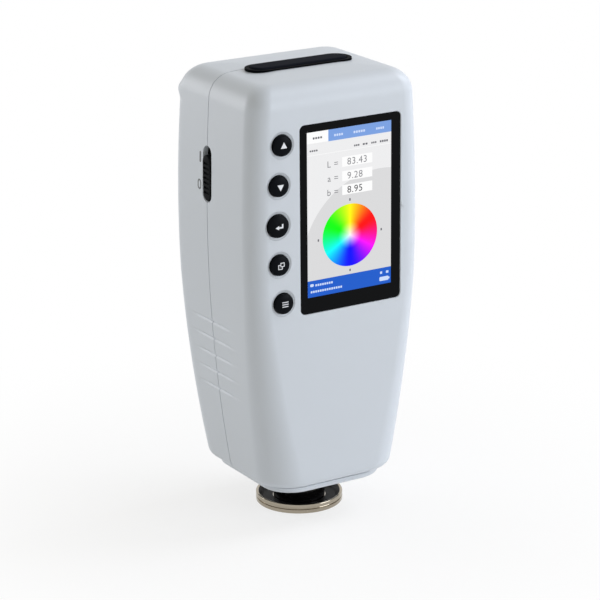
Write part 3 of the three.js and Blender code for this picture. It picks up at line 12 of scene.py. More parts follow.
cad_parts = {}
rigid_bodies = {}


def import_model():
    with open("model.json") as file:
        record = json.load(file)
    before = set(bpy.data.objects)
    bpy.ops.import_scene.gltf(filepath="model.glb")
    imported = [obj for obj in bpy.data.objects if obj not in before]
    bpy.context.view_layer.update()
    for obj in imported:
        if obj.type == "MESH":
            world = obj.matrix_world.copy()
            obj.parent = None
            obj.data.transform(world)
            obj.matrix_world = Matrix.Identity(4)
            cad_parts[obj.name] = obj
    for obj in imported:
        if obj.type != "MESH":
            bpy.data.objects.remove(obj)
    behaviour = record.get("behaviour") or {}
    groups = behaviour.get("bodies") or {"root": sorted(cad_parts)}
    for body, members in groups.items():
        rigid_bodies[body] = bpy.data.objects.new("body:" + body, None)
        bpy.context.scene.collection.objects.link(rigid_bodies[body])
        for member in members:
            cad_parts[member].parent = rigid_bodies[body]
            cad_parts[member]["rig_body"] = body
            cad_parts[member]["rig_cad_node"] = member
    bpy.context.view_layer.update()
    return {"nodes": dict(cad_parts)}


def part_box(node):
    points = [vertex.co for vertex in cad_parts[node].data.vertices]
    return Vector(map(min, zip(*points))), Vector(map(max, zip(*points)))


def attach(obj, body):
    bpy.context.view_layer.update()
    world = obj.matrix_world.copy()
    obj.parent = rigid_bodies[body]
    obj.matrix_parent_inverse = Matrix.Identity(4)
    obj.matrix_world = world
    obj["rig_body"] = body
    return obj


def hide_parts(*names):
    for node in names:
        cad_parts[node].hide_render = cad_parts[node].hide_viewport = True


bl_info = {
    "name": "Portable colorimeter",
    "version": (1, 0, 0),
    "blender": (4, 5, 0),
    "location": "3D View > Sidebar > Colorimeter",
    "description": "Builds the finished pieces of a portable colorimeter over its CAD solids",
    "category": "Object",
}

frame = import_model()
NODES = frame["nodes"]
MM = 0.001

# Form of the housing, in millimetres
HEIGHT = 205.0
FLOOR_Z = 16.4
BASE_LINE_Z = 19.8
WIDEST_Z = 137.0
HALF_WIDTH = 44.0
TOP_HALF_WIDTH = 41.3
LOW_HALF_WIDTH = 33.6
FRONT_DEPTH = 35.0
REAR_DEPTH = 36.0
TOP_REAR_DEPTH = 34.1
LOW_REAR_DEPTH = 33.2
CROWN = 1.2
TOP_EDGE = 10.1
LOWER_EDGE = 3.9
BASE_EDGE = 1.6
FRONT_CORNERS = (16.0, 8.8)
REAR_CORNERS = (13.7, 9.0)
CORNER_TAPER_Z = 110.0
RIDGE_Z = 192.6
RIDGE_TALL = 9.4
RIDGE_PROUD = 2.2
PARTING_Y = 3.2
GAP = 0.42
FIT = 0.3
CLEAR = 0.04
GROOVE_PLACES = (60.0, 68.0, 76.0, 84.0, 92.0)
GROOVE_LONG = 37.0
GROOVE_WIDE = 2.3

# Solids that reach past the housing end at FAR. CUT is how deep the openings are cut through the skin.
FAR = 60.0
CUT = -3.0
# Insets of the lip that lies behind the seam, and how far it reaches past the parting plane
LIP = (1.1, 2.2)
LIP_REACH = 0.6
# The seam's lower edge on the front shell and on the rear shell, from the base line
FRONT_FOOT = 0.2
REAR_FOOT = -0.7
# Insets of the cover's skin and of its seat, and how much smaller the cover is than the seat
COVER_SKIN = 1.35
COVER_SEAT = 1.55
COVER_SHRINK = -0.26
# The thumb dish: the sphere's radius, its middle's height, and its middle's reach behind the back at a height
DISH = (14, 136.2, 13.2, 145.2)
# The largest corner of a tower, as a share of its shorter side
LARGEST_CORNER = 0.488
# Inset of the solid in which the CAD shells' ribs, posts and bosses are kept
CORE = 1.2
# Least distance between two outlines of the housing, in height
LEAST_STEP = 0.12
WELD = 1e-7

# Places on the front, the top and the sides
WINDOW = (6.3, 143.5, 51.4, 84.6, 2.4)
PICTURE_Y = -34.8
LAYER = 0.012
PAGE = (5.65, 145.45, 43.1, 73.9)
TABS = (11.05, 179.85, 32.3, 5.1)
FIRST_TAB = (-10.5, 179.9, 10.8, 5)
FOOT = (5.65, 112.25, 43.1, 7.5)
PAGE_LINE = (5.65, 172.1, 43.1, 0.18)
READING_BOX = (9.65, 15.5, 4.4)
SHADE = ((21.5, 121), 40.6, (-15.9, 116), (27.2, 172))
WHEEL = (5.85, 133.8, 14.1)
DOT_PITCH = 0.18
KEYS = {
    "key_up": (-28.48, 178.7, 9.1),
    "key_down": (-30.3, 161.1, 9.1),
    "key_enter": (-30.9, 143.5, 10.0),
    "key_back": (-30.3, 125.9, 9.1),
    "key_menu": (-28.48, 108.3, 9.1),
}
KEY_ROOT = -3.5
# A key's flange behind the front, as reach past the cap and height
KEY_FLANGE = ((0.7, KEY_ROOT), (0.8, -3.4), (0.8, -2.8), (0.7, -2.7), (0, -2.7))
# A key's hole and the shallow dish round it, as reach past the hole and height
KEY_DISH = (
    *((0, -1.8), (0, -0.5), (0.12, -0.44), (0.4, -0.4032), (0.7, -0.315), (1.0, -0.1512), (1.2, 0)),
    *((1.35, 0.02), (1.35, FAR)),
)
BEZEL = (52.4, 14.6)
# How much smaller than the bezel its seat, its collar and its bore are, and the button in it
SEAT_LESS = 1.6
COLLAR_LESS = 2.2
BORE_LESS = 4
BUTTON_LESS = 4.6
# The button's flange, as reach, foot and top, and how far the button stands over the crown
BUTTON_FLANGE = (0.9, 195.1, 196.5)
BUTTON_TOP = 1.1
BEZEL_Y = -2.5
SLOT = (160.0, 25.1, 7.3)
KNOB = (158.05, 20.6, 6.7)
KNOB_SEAT = 40.0
RIBS = (-3, -2, -1, 0, 1, 2, 3)
RIB_PITCH = 2.2
RIB_GAP = (4.6, 1.0, 0.3, 3)
# Half sizes of the knob's flange, as thickness, width and height, and of its peg
KNOB_FLANGE = (0.5, 5.15, 12.1)
KNOB_PEG = 1.2
JACK_Z = 168.0
JACK_HOLE = 4.2
DATA_Z = 152.0
DATA_HOLE = (5.8, 9.5, 1.2)
DATA_NOSE = (5, 8.7, 1.2, 8)
DATA_BORE = (4.2, 7.9, 0.8, 8)
# The tongue in the data socket: its root and tip from the nose, and its half thickness and height
DATA_TONGUE = (-7.6, -0.6, 0.6, 1.975)
# How far the sockets' noses reach out of their bodies
NOSE = 1.9
NECK_HOLE = 12.1
SCREW_HOLE = 2.5
SCREWS = ((-34.2, 187.2), (34.2, 187.2), (-28.5, 70.2), (28.5, 70.2))
COVER = (0.0, 112.6, 51.4, 69.6, 4.0)
ON_MARK = (9.2, 166.5, 1.4, 5)
OFF_MARK = (9.9, 154, 3.1, 4.7)
OFF_STROKE = 0.8
MARK_SKIN = (-0.02, 0.1)

# Profiles of the turned pieces, as radii and heights
RING_PROFILE = (
    *((12.1, 0), (19.4, 0), (19.7, 0.1), (19.9, 0.4), (19.9, 1.8), (19.75, 1.88), (19.35, 2.0), (19.3, 2.15)),
    *((19.35, 2.3), (19.75, 2.42), (19.9, 2.5), (19.9, 3.9), (19.8, 4.15), (19.5, 4.3), (18.98, 4.3)),
    *((18.8, 4.2), (16.9, 2.05), (16.6, 1.95), (12.1, 1.95), (12.1, 0)),
)
LINING_PROFILE = (
    *((12.2, 1.9), (16.6, 1.9), (18.7, 4.0), (18.65, 4.12), (18.5, 4.1), (16.8, 2.2), (12.2, 2.2)),
    (12.2, 1.9),
)
NECK_PROFILE = (
    *((9.3, 0.6), (11.65, 0.6), (11.8, 0.75), (11.8, 18.8), (14.3, 18.8), (14.3, 20.5), (16.3, 20.5)),
    *((16.3, 18.8), (19.8, 18.8), (20, 19), (20, 21), (19.8, 21.2), (10.4, 21.2), (10.4, 23.6), (7.6, 23.6)),
    *((7.6, 5.9), (6.3, 5.9), (6.3, 4.7), (9.3, 4.7), (9.3, 0.6)),
)
SEAL_MIDDLE = (15.3, 19.65)
SEAL_RADIUS = 0.68
INSERT_PROFILE = ((4, 0.5), (8.8, 0.5), (9, 0.7), (9, 4.5), (8.8, 4.7), (5.7, 4.7), (4, 1.5), (4, 0.5))
JACK_NOSE = ((3.9, -4), (3.9, -0.2), (3.75, -0.05), (3.6, 0))
JACK_BORE = ((3.15, -9), (3.15, -0.25), (3.4, 0), (3.4, 5))
JACK_PIN = ((1, -9.6), (1, -0.95), (0.8, -0.65), (0.3, -0.6))
SCREW_PROFILE = ((0.5, -9), (1.2, -8.2), (1.2, 0), (2.1, 0), (2.2, 0.12), (2.2, 1.1), (1.9, 1.5), (1.2, 1.7))


def paint(red, green, blue):
    """A colour as it looks on a screen, from 0 to 255, as the linear colour that shaders use."""
    shares = [value / 255 for value in (red, green, blue)]
    return tuple(s / 12.92 if s <= 0.04045 else ((s + 0.055) / 1.055) ** 2.4 for s in shares)


# Settings


def colour_setting(name, description, value):
    return bpy.props.FloatVectorProperty(
        name=name, description=description, subtype="COLOR", size=3, min=0, max=1, default=value
    )


def length_setting(name, description, value):
    return bpy.props.FloatProperty(
        name=name, description=description, unit="LENGTH", precision=4, min=0, default=value * MM
    )


def share_setting(name, description, value):
    return bpy.props.FloatProperty(
        name=name, description=description, subtype="FACTOR", min=0, max=1, default=value
    )


def power_setting(name, description, value):
    return bpy.props.FloatProperty(name=name, description=description, unit="POWER", min=0, default=value)


class HousingSettings(bpy.types.PropertyGroup):
    """Shells and battery cover"""

    colour: colour_setting("Plastic", "Colour of the moulded shells", paint(206, 212, 219))
    roughness: share_setting("Roughness", "How matt the plastic is", 0.42)
    skin: length_setting("Skin", "Thickness of the smooth outer skin", 1.5)
    groove_depth: length_setting("Groove depth", "Depth of the grip grooves", 0.6)
    rim: length_setting("Rim", "Softened edge round each opening", 0.25)
    mark_colour: colour_setting("Marks", "Colour of the on and off marks", paint(104, 107, 109))


class KeySettings(bpy.types.PropertyGroup):
    """Five keys beside the display"""

    colour: colour_setting("Key", "Colour of the key caps", paint(14, 16, 20))
    icon_colour: colour_setting("Icon", "Colour of the printed icons", paint(232, 234, 238))
    proud: length_setting("Proud", "How far the keys stand out of the front", 1.75)
    crown: length_setting("Crown", "Rise of the domed top", 0.9)


class DisplaySettings(bpy.types.PropertyGroup):
    """Window and the picture that it shows"""

    glass_colour: colour_setting("Window", "Colour of the window's dark border", paint(3, 4, 6))
    bar_colour: colour_setting("Bar", "Colour of the bar along the foot of the picture", paint(28, 93, 204))
    tab_colour: colour_setting("Tabs", "Colour of the row of tabs", paint(124, 162, 226))
    page_colour: colour_setting("Page", "Colour of the page behind the readings", paint(238, 238, 239))
    brightness: bpy.props.FloatProperty(
        name="Brightness", description="Light given off by the picture", min=0, max=2, default=1.0
    )


class ButtonSettings(bpy.types.PropertyGroup):
    """Test button on top and its bezel"""

    colour: colour_setting("Button", "Colour of the test button", paint(25, 27, 34))
    bezel_colour: colour_setting("Bezel", "Colour of the bezel", paint(14, 15, 18))
    crown: length_setting("Crown", "Rise of the button's rounded edge", 0.7)


class SwitchSettings(bpy.types.PropertyGroup):
    """Power switch on the left side"""

    colour: colour_setting("Knob", "Colour of the sliding knob", paint(20, 22, 24))
    proud: length_setting("Proud", "How far the knob stands out of the side", 0.35)
    rib_depth: length_setting("Rib depth", "Depth of the grooves between the ribs", 0.6)


class HeadSettings(bpy.types.PropertyGroup):
    """Locating ring, neck and sockets"""

    # The ring's colour is partly its own nickel tone and partly painted reflection: it is made warmer and
    # darker to stand for the warm, dark surroundings that the polished ring mirrors.
    ring_tone_and_painted_reflection: colour_setting("Ring", "Colour of the polished ring", paint(170, 161, 145))
    neck_colour: colour_setting("Neck", "Colour of the glossy neck", paint(14, 13, 13))
    ring_roughness: share_setting("Ring roughness", "How matt the ring is", 0.1)


class StudioSettings(bpy.types.PropertyGroup):
    """Floor, lamps and camera"""

    floor_colour: colour_setting("Floor", "Colour of the floor", paint(250, 250, 250))
    front_power: power_setting("Front lamp", "Power of the lamp at the front right", 8.3)
    right_power: power_setting("Right lamp", "Power of the lamp high on the right", 11.7)
    rear_power: power_setting("Rear lamp", "Power of the lamp at the left and back", 6.4)
    focal_length: bpy.props.FloatProperty(
        name="Focal length", description="Focal length of the camera in millimetres", min=1, default=157.92
    )


# Selecting and finishing pieces


def clear_choice():
    """Deselects every object, also before a new one is added."""
    if bpy.context.object and bpy.context.object.mode != "OBJECT":
        bpy.ops.object.mode_set(mode="OBJECT")
    bpy.ops.object.select_all(action="DESELECT")


def take(obj):
    """Selects one object and nothing else."""
    clear_choice()
    obj.select_set(True)
    bpy.context.view_layer.objects.active = obj
    return obj


def added(name):
    """Names the object that was just added."""
    obj = bpy.context.object
    obj.name = name
    obj.data.name = name
    return obj


def settle(obj):
    """Puts an object's place, turn and size into its mesh."""
    take(obj)
    bpy.ops.object.transform_apply(location=True, rotation=True, scale=True)
    return obj


def smooth(obj, degrees=32):
    """Shades smoothly over edges up to an angle."""
    take(obj)
    bpy.ops.object.shade_smooth_by_angle(angle=math.radians(degrees))
    return obj


def modify(obj, kind, **settings):
    """Adds a modifier, sets it and applies it."""
    take(obj)
    bpy.ops.object.modifier_add(type=kind)
    step = obj.modifiers[-1]
    for name, value in settings.items():
        setattr(step, name, value)
    bpy.ops.object.modifier_apply(modifier=step.name)
    return obj


def even_normals(obj):
    """Keeps flat faces flat beside rounded ones."""
    return modify(obj, "WEIGHTED_NORMAL", keep_sharp=True)


def combine(obj, other, operation="DIFFERENCE"):
    """Cuts, joins or crosses one solid with another, which is then removed."""
    modify(obj, "BOOLEAN", operation=operation, solver="EXACT", object=other)
    if not obj.data.polygons:
        raise RuntimeError(f"nothing is left of {obj.name} after {other.name}")
    bpy.data.objects.remove(other)
    return obj


def rounded(obj, width, segments=3):
    """Rounds the sharp edges of a piece."""
    limit = {"limit_method": "ANGLE", "angle_limit": math.radians(40)}
    return modify(obj, "BEVEL", width=width * MM, segments=segments, use_clamp_overlap=True, **limit)


def merged(objects, name):
    """One object from several."""
    take(objects[0])
    for obj in objects:
        obj.select_set(True)
    bpy.ops.object.join()
    return added(name)


def duplicate(obj, name, shift=(0, 0, 0)):
    """A copy with its own mesh, moved by millimetres."""
    take(obj)
    bpy.ops.object.duplicate(linked=False)
    copy = added(name)
    copy.location = Vector(shift) * MM
    return settle(copy)


def finish_piece(obj, body_name, slot, material, replaces=()):
    """Gives a finished piece its surface, its body and the CAD nodes that it stands for."""
    obj.data.materials.clear()
    obj.data.materials.append(material)
    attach(obj, body_name)
    if replaces:
        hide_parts(*replaces)
    return obj


# Drawing solids


TURNS = {
    "top": (0, 0, 0),
    "floor": (180, 0, 0),
    "front": (90, 0, 0),
    "back": (90, 0, 180),
    "left": (90, 0, -90),
    "right": (90, 0, 90),
}


def cad_box(name):
    """The corners of a CAD solid's box, in millimetres."""
    return [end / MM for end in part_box(name)]


def facing(side, centre):
    """The turn and place of a solid that is drawn flat at the origin and then looks out of one side."""
    turn = Euler([math.radians(angle) for angle in TURNS[side]]).to_matrix().to_4x4()
    return Matrix.Translation(Vector(centre) * MM) @ turn


def put(obj, place):
    """Turns and moves a drawn solid to its place, and keeps that in its mesh."""
    obj.matrix_world = place @ obj.matrix_world
    return settle(obj)


def open_up(choice="SELECT"):
    """Goes into edit mode and selects all of the mesh, or nothing."""
    if bpy.context.object.mode != "EDIT":
        bpy.ops.object.mode_set(mode="EDIT")
    bpy.ops.mesh.select_all(action=choice)


def close_up(obj):
    """Merges doubles, closes what is open and turns the faces outwards."""
    open_up()
    bpy.ops.mesh.remove_doubles(threshold=WELD)
    open_up()
    bpy.ops.mesh.fill_holes(sides=0)
    open_up()
    bpy.ops.mesh.normals_make_consistent(inside=False)
    bpy.ops.object.mode_set(mode="OBJECT")
    return obj


def tower(name, shape, levels, place):
    """A rectangle with rounded corners, extruded and inset from level to level.

    The shape is its width, height, corner radius and steps to a corner. A level is how far the outline
    has grown, and its height. The first two levels have the same outline.
    """
    wide, tall, corner_radius, steps = shape
    grow, height = levels[0]
    corner_radius = min(corner_radius, LARGEST_CORNER * min(wide, tall)) + grow
    clear_choice()
    bpy.ops.mesh.primitive_plane_add(size=1, location=(0, 0, height * MM))
    obj = added(name)
    obj.scale = ((wide + 2 * grow) * MM, (tall + 2 * grow) * MM, 1)
    settle(obj)
    open_up()
    bpy.ops.mesh.bevel(offset=corner_radius * MM, segments=steps, affect="VERTICES")
    open_up()
    for next_grow, next_height in levels[1:]:
        rise = (0, 0, (next_height - height) * MM)
        if next_grow < grow:
            bpy.ops.mesh.inset(thickness=(grow - next_grow) * MM, depth=0, use_even_offset=True)
            bpy.ops.transform.translate(value=rise)
        else:
            bpy.ops.mesh.extrude_region_move(TRANSFORM_OT_translate={"value": rise})
        grow, height = next_grow, next_height
    return put(close_up(obj), place)


def turned(name, profile, place, steps=64):
    """A circle, extruded and scaled along a profile of radii and heights.

    A profile that ends where it starts makes a ring, and any other is closed by flat ends.
    """
    ring = profile[0] == profile[-1]
    path = profile[:-1] if ring else profile
    radius, height = path[0]
    clear_choice()
    bpy.ops.mesh.primitive_circle_add(vertices=steps, radius=radius * MM, location=(0, 0, height * MM))
    obj = settle(added(name))
    open_up()
    for next_radius, next_height in path[1:]:
        rise = (0, 0, (next_height - height) * MM)
        bpy.ops.mesh.extrude_edges_move(TRANSFORM_OT_translate={"value": rise})
        share = next_radius / radius
        bpy.ops.transform.resize(value=(share, share, 1), center_override=(0, 0, next_height * MM))
        radius, height = next_radius, next_height
    if ring:
        open_up("DESELECT")
        bpy.ops.mesh.select_mode(type="EDGE")
        bpy.ops.mesh.select_non_manifold(extend=False)
        bpy.ops.mesh.bridge_edge_loops()
        bpy.ops.mesh.select_mode(type="VERT")
    return put(close_up(obj), place)


def block(name, low, high):
    """A square block between two corners."""
    clear_choice()
    middle = [(a + b) / 2 * MM for a, b in zip(low, high)]
    bpy.ops.mesh.primitive_cube_add(size=1, location=middle)
    obj = added(name)
    obj.scale = [(b - a) * MM for a, b in zip(low, high)]
    return settle(obj)


def wrap(name, rings):
    """Lays a grid over a row of closed outlines. The housing's skin changes its section all the way up."""
    clear_choice()
    around = len(rings[0])
    bpy.ops.mesh.primitive_grid_add(x_subdivisions=around, y_subdivisions=len(rings) - 1, size=1)
    obj = added(name)
    points = [point for outline in rings for point in (*outline, outline[0])]
    obj.data.vertices.foreach_set("co", [value * MM for point in points for value in point])
    return close_up(obj)


# The housing's form


def taper(z, widest, top, low):
    """A measure that is largest at the widest height and shrinks towards the top and the foot."""
    if z > WIDEST_Z:
        return widest - (widest - top) * ((z - WIDEST_Z) / (HEIGHT - WIDEST_Z)) ** 2
    return widest - (widest - low) * ((WIDEST_Z - z) / (WIDEST_Z - BASE_LINE_Z)) ** 2


def half_width(z):
    return taper(z, HALF_WIDTH, TOP_HALF_WIDTH, LOW_HALF_WIDTH)


def rear_depth(z):
    return taper(z, REAR_DEPTH, TOP_REAR_DEPTH, LOW_REAR_DEPTH)


def ridge(z):
    """How far the ridge across the back stands out at a height."""
    across = min(1, abs(z - RIDGE_Z) / (RIDGE_TALL / 2))
    return RIDGE_PROUD * math.cos(across * math.pi / 2) ** 2


def corner(z, radii, inset):
    """Radius of an upright corner, which changes from the foot to the taper's end."""
    rise = min(1, max(0, (z - BASE_LINE_Z) / (CORNER_TAPER_Z - BASE_LINE_Z)))
    return max(radii[0] + (radii[1] - radii[0]) * rise - inset / 2, 1.5)


def groove(y, z, depth):
    """How far a grip groove sinks the side at a point."""
    fade = 1 - (2 * (y - PARTING_Y) / GROOVE_LONG) ** 2
    nearest = min(abs(z - place) for place in GROOVE_PLACES) / (GROOVE_WIDE / 2)
    if fade <= 0 or nearest >= 1:
        return 0
    return depth * min(1, fade * 1.4) * math.cos(nearest * math.pi / 2) ** 2


def section(z, inset, bulge, steps, columns, depth):
    """The housing's outline at a height, counterclockwise from the front's right corner."""
    width = half_width(z) - inset
    front = FRONT_DEPTH - inset
    rear = rear_depth(z) + bulge - inset
    near = corner(z, FRONT_CORNERS, inset)
    back = corner(z, REAR_CORNERS, inset)
    quarters = (
        (width - near, near - front, near, -90),
        (width - back, rear - back, back, 0),
        (back - width, rear - back, back, 90),
        (near - width, near - front, near, 180),
    )
    points = []
    for i, (x, y, radius, start) in enumerate(quarters):
        if i in (1, 3):
            before = points[-1]
            turn = math.radians(start)
            after = (x + radius * math.cos(turn), y + radius * math.sin(turn))
            for column in range(1, columns):
                share = column / columns
                points.append(tuple(a + (b - a) * share for a, b in zip(before, after)))
        for step in range(steps + 1):
            angle = math.radians(start + 90 * step / steps)
            points.append((x + radius * math.cos(angle), y + radius * math.sin(angle)))
    return [(x - math.copysign(groove(y, z, depth), x), y, z) for x, y in points]


def spread(start, end, steps):
    """Even steps after a start, up to an end."""
    return [start + (end - start) * (step + 1) / steps for step in range(steps)]


def low_edge(centre_z, inset, radius, steps):
    """Heights and insets round a lower edge."""
    if radius <= 0:
        return [(centre_z, inset)]
    turns = [math.pi / 2 * step / steps for step in range(steps + 1)]
    return [(centre_z - radius * math.cos(a), inset - radius * math.sin(a)) for a in turns]


def body_levels(offset, fine):
    """Heights and insets of the housing's outlines, from its floor to its crown."""
    steps = 6 if fine else 3
    sunk = max(offset, BASE_EDGE)
    levels = low_edge(FLOOR_Z + sunk, LOWER_EDGE + sunk, max(BASE_EDGE - offset, 0), steps)
    if offset > 0:
        levels.append((BASE_LINE_Z + offset, LOWER_EDGE + offset))
    levels += low_edge(BASE_LINE_Z + LOWER_EDGE, LOWER_EDGE, LOWER_EDGE - offset, steps)
    heights = spread(levels[-1][0], WIDEST_Z, 26 if fine else 8)
    heights += spread(WIDEST_Z, RIDGE_Z - RIDGE_TALL / 2, 12 if fine else 4)
    if fine:
        shares = (-0.5, -0.36, -0.22, -0.1, 0, 0.1, 0.22, 0.36, 0.5)
        heights += [place + share * GROOVE_WIDE for place in GROOVE_PLACES for share in shares]
        shares = (-0.42, -0.34, -0.26, -0.18, -0.1, -0.03, 0.04)
        heights += [RIDGE_Z + share * RIDGE_TALL for share in shares]
    radius = TOP_EDGE - offset
    turns = 12 if fine else 5
    top = []
    for step in range(turns + 1):
        angle = math.pi / 2 * step / turns
        z = HEIGHT - CROWN - TOP_EDGE + radius * math.sin(angle)
        top.append((z, TOP_EDGE - radius * math.cos(angle)))
    for share in (0.1, 0.2, 0.32, 0.46, 0.6, 0.74, 0.84, 0.9) if fine else (0.3, 0.6, 0.85):
        z = HEIGHT - CROWN * (1 - share) ** 2 - offset
        top.append((z, TOP_EDGE + (FRONT_DEPTH - TOP_EDGE) * share))
    last, middle = levels[-1][0], []
    for z in sorted(heights):
        if last + LEAST_STEP < z < top[0][0] - LEAST_STEP:
            middle.append((z, offset))
            last = z
    return levels + middle + top


def body(name, offset, fine, depth=0.0):
    """The housing as one solid, so far inside its outer surface. Only the outer one has the ridge."""
    steps, columns = (14, 16) if fine else (6, 3)
    rings = [
        section(z, inset, 0 if offset > 0 else ridge(z), steps, columns, depth)
        for z, inset in body_levels(offset, fine)
    ]
    return wrap(name, rings)


def skin(name):
    """The smooth outer layer of the whole housing."""
    settings = bpy.context.scene.colorimeter_housing
    outer = body(name, 0, True, settings.groove_depth / MM)
    return combine(outer, body("inside", settings.skin / MM, False))


def inner_form(node_name, name):
    """What lies inside a CAD shell's outer surface: its ribs, posts and bosses, as a merged copy."""
    take(NODES[node_name])
    bpy.ops.object.duplicate(linked=False)
    copy = added(name)
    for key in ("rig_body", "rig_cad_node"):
        if key in copy:
            del copy[key]
    copy.parent = None
    copy.data.materials.clear()
    bpy.ops.mesh.customdata_custom_splitnormals_clear()
    open_up()
    bpy.ops.mesh.remove_doubles(threshold=WELD)
    bpy.ops.object.mode_set(mode="OBJECT")
    return combine(copy, body("core", CORE, False), "INTERSECT")


def pill(long, wide, upright=False, steps=16):
    """The shape of a rectangle with half round ends."""
    return (wide, long, wide / 2, steps) if upright else (long, wide, wide / 2, steps)


def in_bezel(less):
    """The bezel's shape, made smaller."""
    return pill(BEZEL[0] - less, BEZEL[1] - less)


def opening(name, shape, place, low, top, rim):
    """A cutter with straight walls that widens at the surface, which softens the opening's rim."""
    return tower(name, shape, [(rim, FAR), (rim, top), (0, top - rim), (0, low)], place)


def round_opening(name, radius, place, low, rim):
    profile = [(radius, low), (radius, -rim), (radius + rim, 0), (radius + rim, FAR)]
    return turned(name, profile, place, 48)


def shared_cutters(rim):
    """Openings that both shells share: the switch slot, the two sockets and the bezel."""
    slot_z, long, wide = SLOT
    slot = facing("left", (-half_width(slot_z), PARTING_Y, slot_z))
    jack, data = (facing("right", (half_width(z), PARTING_Y, z)) for z in (JACK_Z, DATA_Z))
    data_wide, data_tall, data_corner = DATA_HOLE
    top = facing("top", (0, BEZEL_Y, HEIGHT))
    return [
        opening("slot", pill(long + CLEAR, wide + CLEAR, True, 12), slot, CUT, 0, rim),
        round_opening("jack_hole", JACK_HOLE + CLEAR / 2, jack, CUT, rim),
        opening("data_hole", (data_wide + CLEAR, data_tall + CLEAR, data_corner, 8), data, CUT, 0, rim),
        opening("bezel_hole", in_bezel(SEAT_LESS - CLEAR), top, CUT, -0.1, 0.05),
    ]


class COLORIMETER_OT_front_shell(bpy.types.Operator):
    """Front shell with its openings for the window and the keys"""

    bl_idname = "colorimeter.front_shell"
    bl_label = "Front shell"

    def execute(self, context):
        rim = context.scene.colorimeter_housing.rim / MM
        shell = combine(skin("front_shell_finished"), inner_form("front_shell", "front_inside"), "UNION")
        low, high = (-FAR, -FAR, BASE_LINE_Z + FRONT_FOOT), (FAR, PARTING_Y - GAP / 2, HEIGHT + FAR)
        combine(shell, block("front_side", low, high), "INTERSECT")
        x, z, wide, tall, radius = WINDOW
        shape = (wide + FIT + CLEAR, tall + FIT + CLEAR, radius, 10)
        place = facing("front", (x, -FRONT_DEPTH, z))
        cutters = [opening("window_seat", shape, place, -1.6, 0, rim), *shared_cutters(rim)]
        for name, (key_x, key_z, diameter) in KEYS.items():
            hole = diameter / 2 + FIT
            profile = [(hole + reach, height) for reach, height in KEY_DISH]
            place = facing("front", (key_x, -FRONT_DEPTH, key_z))
            cutters.append(turned(name + "_hole", profile, place, 56))
        combine(shell, merged(cutters, "front_cutters"))
        even_normals(smooth(shell))
        finish_piece(shell, "housing", "shell", shell_plastic(), ["front_shell"])
        return {"FINISHED"}


class COLORIMETER_OT_rear_shell(bpy.types.Operator):
    """Rear shell with the floor, the battery bay and the screw holes"""

    bl_idname = "colorimeter.rear_shell"
    bl_label = "Rear shell"

    def execute(self, context):
        rim = context.scene.colorimeter_housing.rim / MM
        shell = skin("rear_shell_finished")
        low, high = (-FAR, -FAR, BASE_LINE_Z + REAR_FOOT), (FAR, PARTING_Y + GAP / 2, HEIGHT + FAR)
        combine(shell, block("front_side", low, high))
        lip = combine(body("lip", LIP[0], False), body("inside", LIP[1], False))
        low = (-FAR, PARTING_Y - GAP / 2 + 0.02, BASE_LINE_Z + 5)
        high = (FAR, PARTING_Y + LIP_REACH, HEIGHT + FAR)
        combine(shell, combine(lip, block("lip_band", low, high), "INTERSECT"), "UNION")
        combine(shell, inner_form("rear_shell", "rear_inside"), "UNION")
        x, z, wide, tall, radius = COVER
        shape = (wide + CLEAR, tall + CLEAR, radius, 10)
        seat = tower("cover_seat", shape, [(0, 29), (0, FAR)], facing("back", (x, 0, z)))
        cutters = [*shared_cutters(rim), combine(seat, body("seat_floor", COVER_SEAT, True))]
        place = facing("floor", (0, 0, FLOOR_Z))
        cutters.append(round_opening("neck_hole", NECK_HOLE + CLEAR / 2, place, -2, rim))
        for screw_x, screw_z in SCREWS:
            place = facing("back", (screw_x, rear_depth(screw_z), screw_z))
            cutters.append(round_opening("screw_hole", SCREW_HOLE + CLEAR / 2, place, -3.5, rim))
        combine(shell, merged(cutters, "rear_cutters"))
        even_normals(smooth(shell))
        finish_piece(shell, "housing", "shell", shell_plastic(), ["rear_shell"])
        return {"FINISHED"}


class COLORIMETER_OT_battery_cover(bpy.types.Operator):
    """Battery cover with its tabs and the thumb dish"""

    bl_idname = "colorimeter.battery_cover"
    bl_label = "Battery cover"

    def execute(self, context):
        x, z, wide, tall, radius = COVER
        cover = combine(body("battery_cover_finished", 0, True), body("inside", COVER_SKIN, False))
        combine(cover, inner_form("battery_cover", "cover_inside"), "UNION")
        levels = [(COVER_SHRINK, 22), (COVER_SHRINK, FAR)]
        outline = tower("cover_outline", (wide, tall, radius, 10), levels, facing("back", (x, 0, z)))
        combine(cover, outline, "INTERSECT")
        clear_choice()
        radius, dish_z, behind, back_z = DISH
        middle = Vector((0, rear_depth(back_z) + behind, dish_z)) * MM
        bpy.ops.mesh.primitive_uv_sphere_add(segments=96, ring_count=64, radius=radius * MM, location=middle)
        combine(cover, settle(added("thumb_dish")))
        even_normals(smooth(cover))
        finish_piece(cover, "battery_cover", "shell", shell_plastic(), ["battery_cover"])
        return {"FINISHED"}


class COLORIMETER_OT_switch_marks(bpy.types.Operator):
    """On and off marks printed beside the power switch"""

    bl_idname = "colorimeter.switch_marks"
    bl_label = "Switch marks"

    def execute(self, context):
        y, z, wide, tall = ON_MARK
        place = facing("left", (-HALF_WIDTH, y, z))
        on = tower("on_mark", pill(tall, wide, True, 8), [(0, -2), (0, 2)], place)
        y, z, wide, tall = OFF_MARK
        place = facing("left", (-HALF_WIDTH, y, z))
        off = tower("off_mark", pill(tall, wide, True, 10), [(0, -2), (0, 2)], place)
        levels = [(-OFF_STROKE, -3), (-OFF_STROKE, 3)]
        combine(off, tower("inner", pill(tall, wide, True, 10), levels, place))
        marks = combine(body("switch_marks", MARK_SKIN[0], True), body("inside", MARK_SKIN[1], True))
        combine(marks, merged([on, off], "mark_outlines"), "INTERSECT")
        colour = context.scene.colorimeter_housing.mark_colour
        finish_piece(smooth(marks), "housing", "trim_black", plastic("Printed mark", colour, 0.5, 0.02))
        return {"FINISHED"}


# Keys


